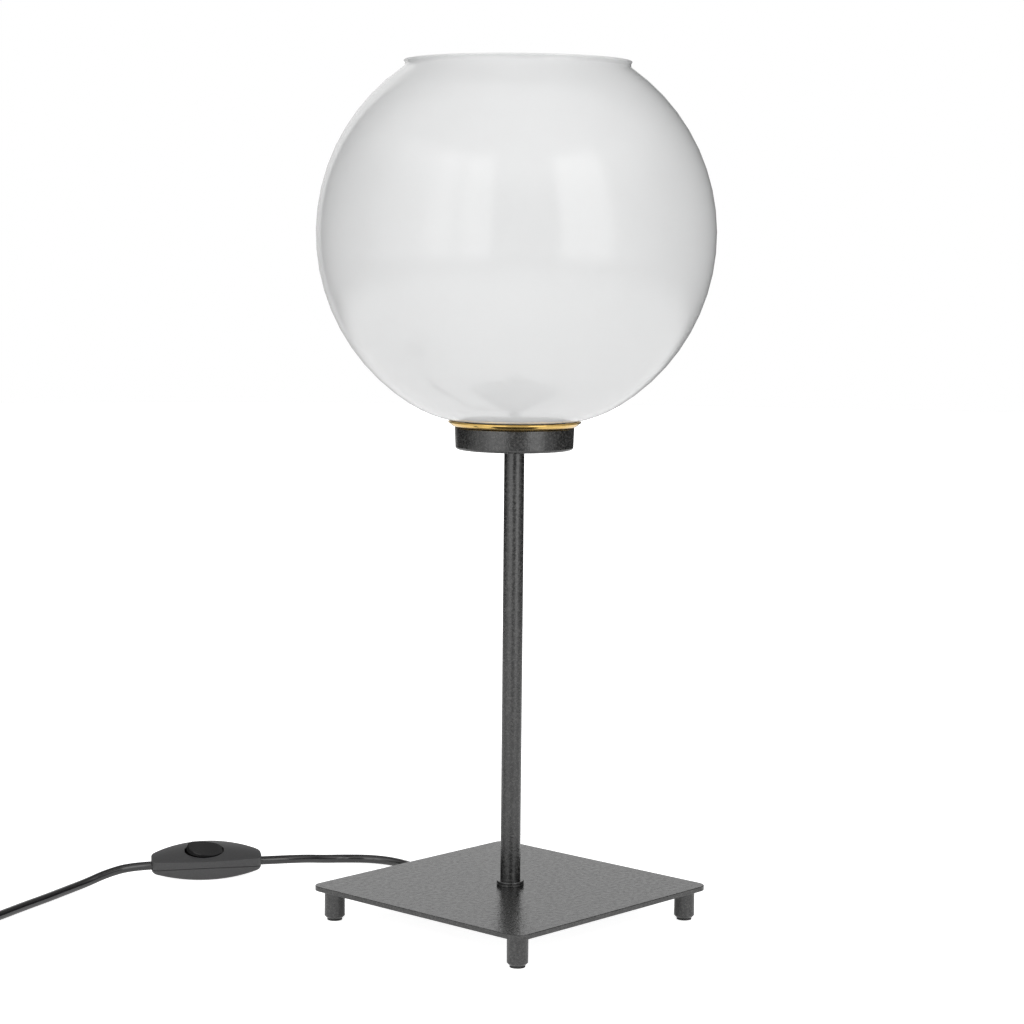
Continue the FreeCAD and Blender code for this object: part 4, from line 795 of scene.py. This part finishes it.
# The free cords' points, in millimetres: x, y and the height above a lying cord.
BASE_ROUTE = [
    (21.6, 54.2, 4.2),
    (27.6, 70.5, 2.0),
    (34.6, 89.0, 0.2),
    (41.4, 110.0, 0.0),
    (46.2, 131.0, 0.0),
    (46.6, 149.0, 0.0),
    (40.8, 163.4, 0.0),
    (29.8, 174.6, 0.1),
    (15.0, 179.4, 1.5),
    (0.0, 179.8, 4.2),
]
VIEW_ROUTE = [
    (-115.5, 240.6, 3.6),
    (-130.0, 241.2, 0.5),
    (-148.0, 236.6, 0.0),
    (-170.0, 229.2, 0.0),
    (-194.0, 222.2, 0.0),
    (-217.0, 214.7, 0.0),
]
TAIL_ROUTE = [
    (14.0, 0.0, 0.2),
    (30.0, 1.2, 1.2),
    (46.0, 4.0, 1.95),
]

COIL_START = Vector((-243.3 * MM, 206.7 * MM, LYING))
COIL_HEADING = math.radians(196.86)
COIL_RADIUS = 42.0 * MM
TURN_GAP = 0.5 * MM
HALF_TURNS_IN = 6
HALF_TURN_POINTS = 10

RELIEF_LENGTH = 25.0 * MM
RELIEF_CONE = 40.75 * MM
RELIEF_RADIUS = 5.5 * MM
RELIEF_END_RADIUS = 3.8 * MM
RELIEF_RIBS = 6
RELIEF_RIB = 0.55 * MM
RELIEF_RIB_SHARE = 0.45
RELIEF_SEGMENTS = 48
PLUG_THICKNESS = 13.7 * MM


def switch_matrix():
    roll = Matrix.Rotation(SWITCH_ROLL, 4, "X")
    lowest = (roll @ Vector((0, SWITCH_EDGE - SWITCH_WIDTH / 2, SWITCH_EDGE))).z - SWITCH_EDGE
    place = Matrix.Translation(SWITCH_PLACE - Vector((0, 0, lowest)))
    return place @ Matrix.Rotation(SWITCH_HEADING, 4, "Z") @ roll


def on_floor(points):
    return [Vector((x * MM, y * MM, LYING + up * MM)) for x, y, up in points]


def coil_points():
    """Half turns that spiral in on the floor, climb in the innermost one, and spiral out above."""
    pitch = CORD + TURN_GAP
    way = Vector((math.cos(COIL_HEADING), math.sin(COIL_HEADING), 0))
    inward = Vector((way.y, -way.x, 0))
    radii = [COIL_RADIUS - pitch / 2 * i for i in range(HALF_TURNS_IN)]
    climb = COIL_RADIUS - pitch / 2 * HALF_TURNS_IN
    stretch = 1 / math.cos(math.pi / 2 / HALF_TURN_POINTS)
    points = []
    here, facing = COIL_START.copy(), 1
    for radius in [*radii, climb, *radii[:0:-1]]:
        centre = here + inward * facing * radius
        rise = pitch if radius == climb else 0
        for k in range(HALF_TURN_POINTS):
            share = (k + 0.5) / HALF_TURN_POINTS
            t = math.pi * share
            outward = (inward * -math.cos(t) + way * math.sin(t)) * facing
            points.append(centre + outward * radius * stretch + Vector((0, 0, rise * share)))
        here = here + inward * facing * 2 * radius + Vector((0, 0, rise))
        facing = -facing
    return points, here, way * facing


def smooth_cord(name, points):
    """A round tube on a smooth curve with these control points."""
    curve = bpy.data.curves.new(name, "CURVE")
    curve.dimensions = "3D"
    spline = curve.splines.new("NURBS")
    spline.points.add(len(points) - 1)
    for point, place in zip(spline.points, points):
        point.co = (*place, 1)
    spline.order_u = 3
    spline.use_endpoint_u = True
    spline.resolution_u = CORD_STEPS
    curve.bevel_depth = CORD / 2
    curve.bevel_resolution = CORD_ROUNDNESS
    curve.use_fill_caps = True
    return new_object(name, curve)


def add_relief_ribs(foot, ahead, materials):
    """Raised rings round the plug's tapered relief."""
    turn = Matrix.Translation(foot) @ ahead.to_track_quat("Z", "X").to_matrix().to_4x4()
    half = RELIEF_LENGTH / RELIEF_RIBS * RELIEF_RIB_SHARE / 2
    rings = []
    for k in range(RELIEF_RIBS):
        middle = RELIEF_LENGTH * (k + 0.5) / RELIEF_RIBS
        radius = RELIEF_END_RADIUS + (RELIEF_RADIUS - RELIEF_END_RADIUS) * middle / RELIEF_CONE
        ring = outline([
            (radius - RELIEF_RIB, middle - half),
            (radius, middle - half),
            (radius + RELIEF_RIB, middle),
            (radius, middle + half),
            (radius - RELIEF_RIB, middle + half),
        ])
        ring = eased(ring, EDGE_ROUND)
        ring = lathe(f"relief_rib_{k + 1}", ring, segments=RELIEF_SEGMENTS, closed=True)
        ring.data.transform(turn)
        rings.append(stand_in(ring, "lamp", "plug_plastic", materials))
    return rings


def add_cords(materials):
    switch = switch_matrix()
    ends = (SWITCH_INSIDE + RIGHT_RUN, SWITCH_INSIDE, -SWITCH_INSIDE, -SWITCH_INSIDE - LEFT_RUN)
    right_out, right_in, left_in, left_out = (switch @ Vector((x, 0, SWITCH_CORD_HEIGHT)) for x in ends)
    base_cord = smooth_cord("base_cord", [EXIT, *on_floor(BASE_ROUTE), right_out, right_in])
    stand_in(base_cord, "lamp", "cord_sheath", materials, "cord_base_to_switch")
    turns, leaving, out = coil_points()
    way = Vector((math.cos(COIL_HEADING), math.sin(COIL_HEADING), 0))
    side = Vector((-out.y, out.x, 0))
    straight = leaving + out * CORD
    tail = [
        straight + out * along * MM + side * across * MM - Vector((0, 0, drop * MM))
        for along, across, drop in TAIL_ROUTE
    ]
    points = [left_in, left_out, *on_floor(VIEW_ROUTE), COIL_START - way * CORD]
    long_cord = smooth_cord("long_cord", [*points, *turns, straight, *tail])
    solids = ("cord_switch_to_coil", "cord_coil", "cord_coil_to_plug")
    stand_in(long_cord, "lamp", "cord_sheath", materials, *solids)
    foot, ahead = tail[-1].copy(), tail[-1] - tail[-2]
    foot.z, ahead.z = PLUG_THICKNESS / 2, 0
    carried = [frame["nodes"][name] for name in ("plug_body", "plug_prongs", "coil_tie")]
    carried += add_relief_ribs(foot, ahead, materials)


materials = make_materials()
add_camera()
add_cords(materials)
dress_nodes(materials)
add_stem(materials)
add_feet(materials)
add_cup(materials)
add_dish(materials)
add_globe(materials)
add_bulb(materials)
add_holder(materials)
add_world()
add_floor()

scene.view_settings.view_transform = "Standard"
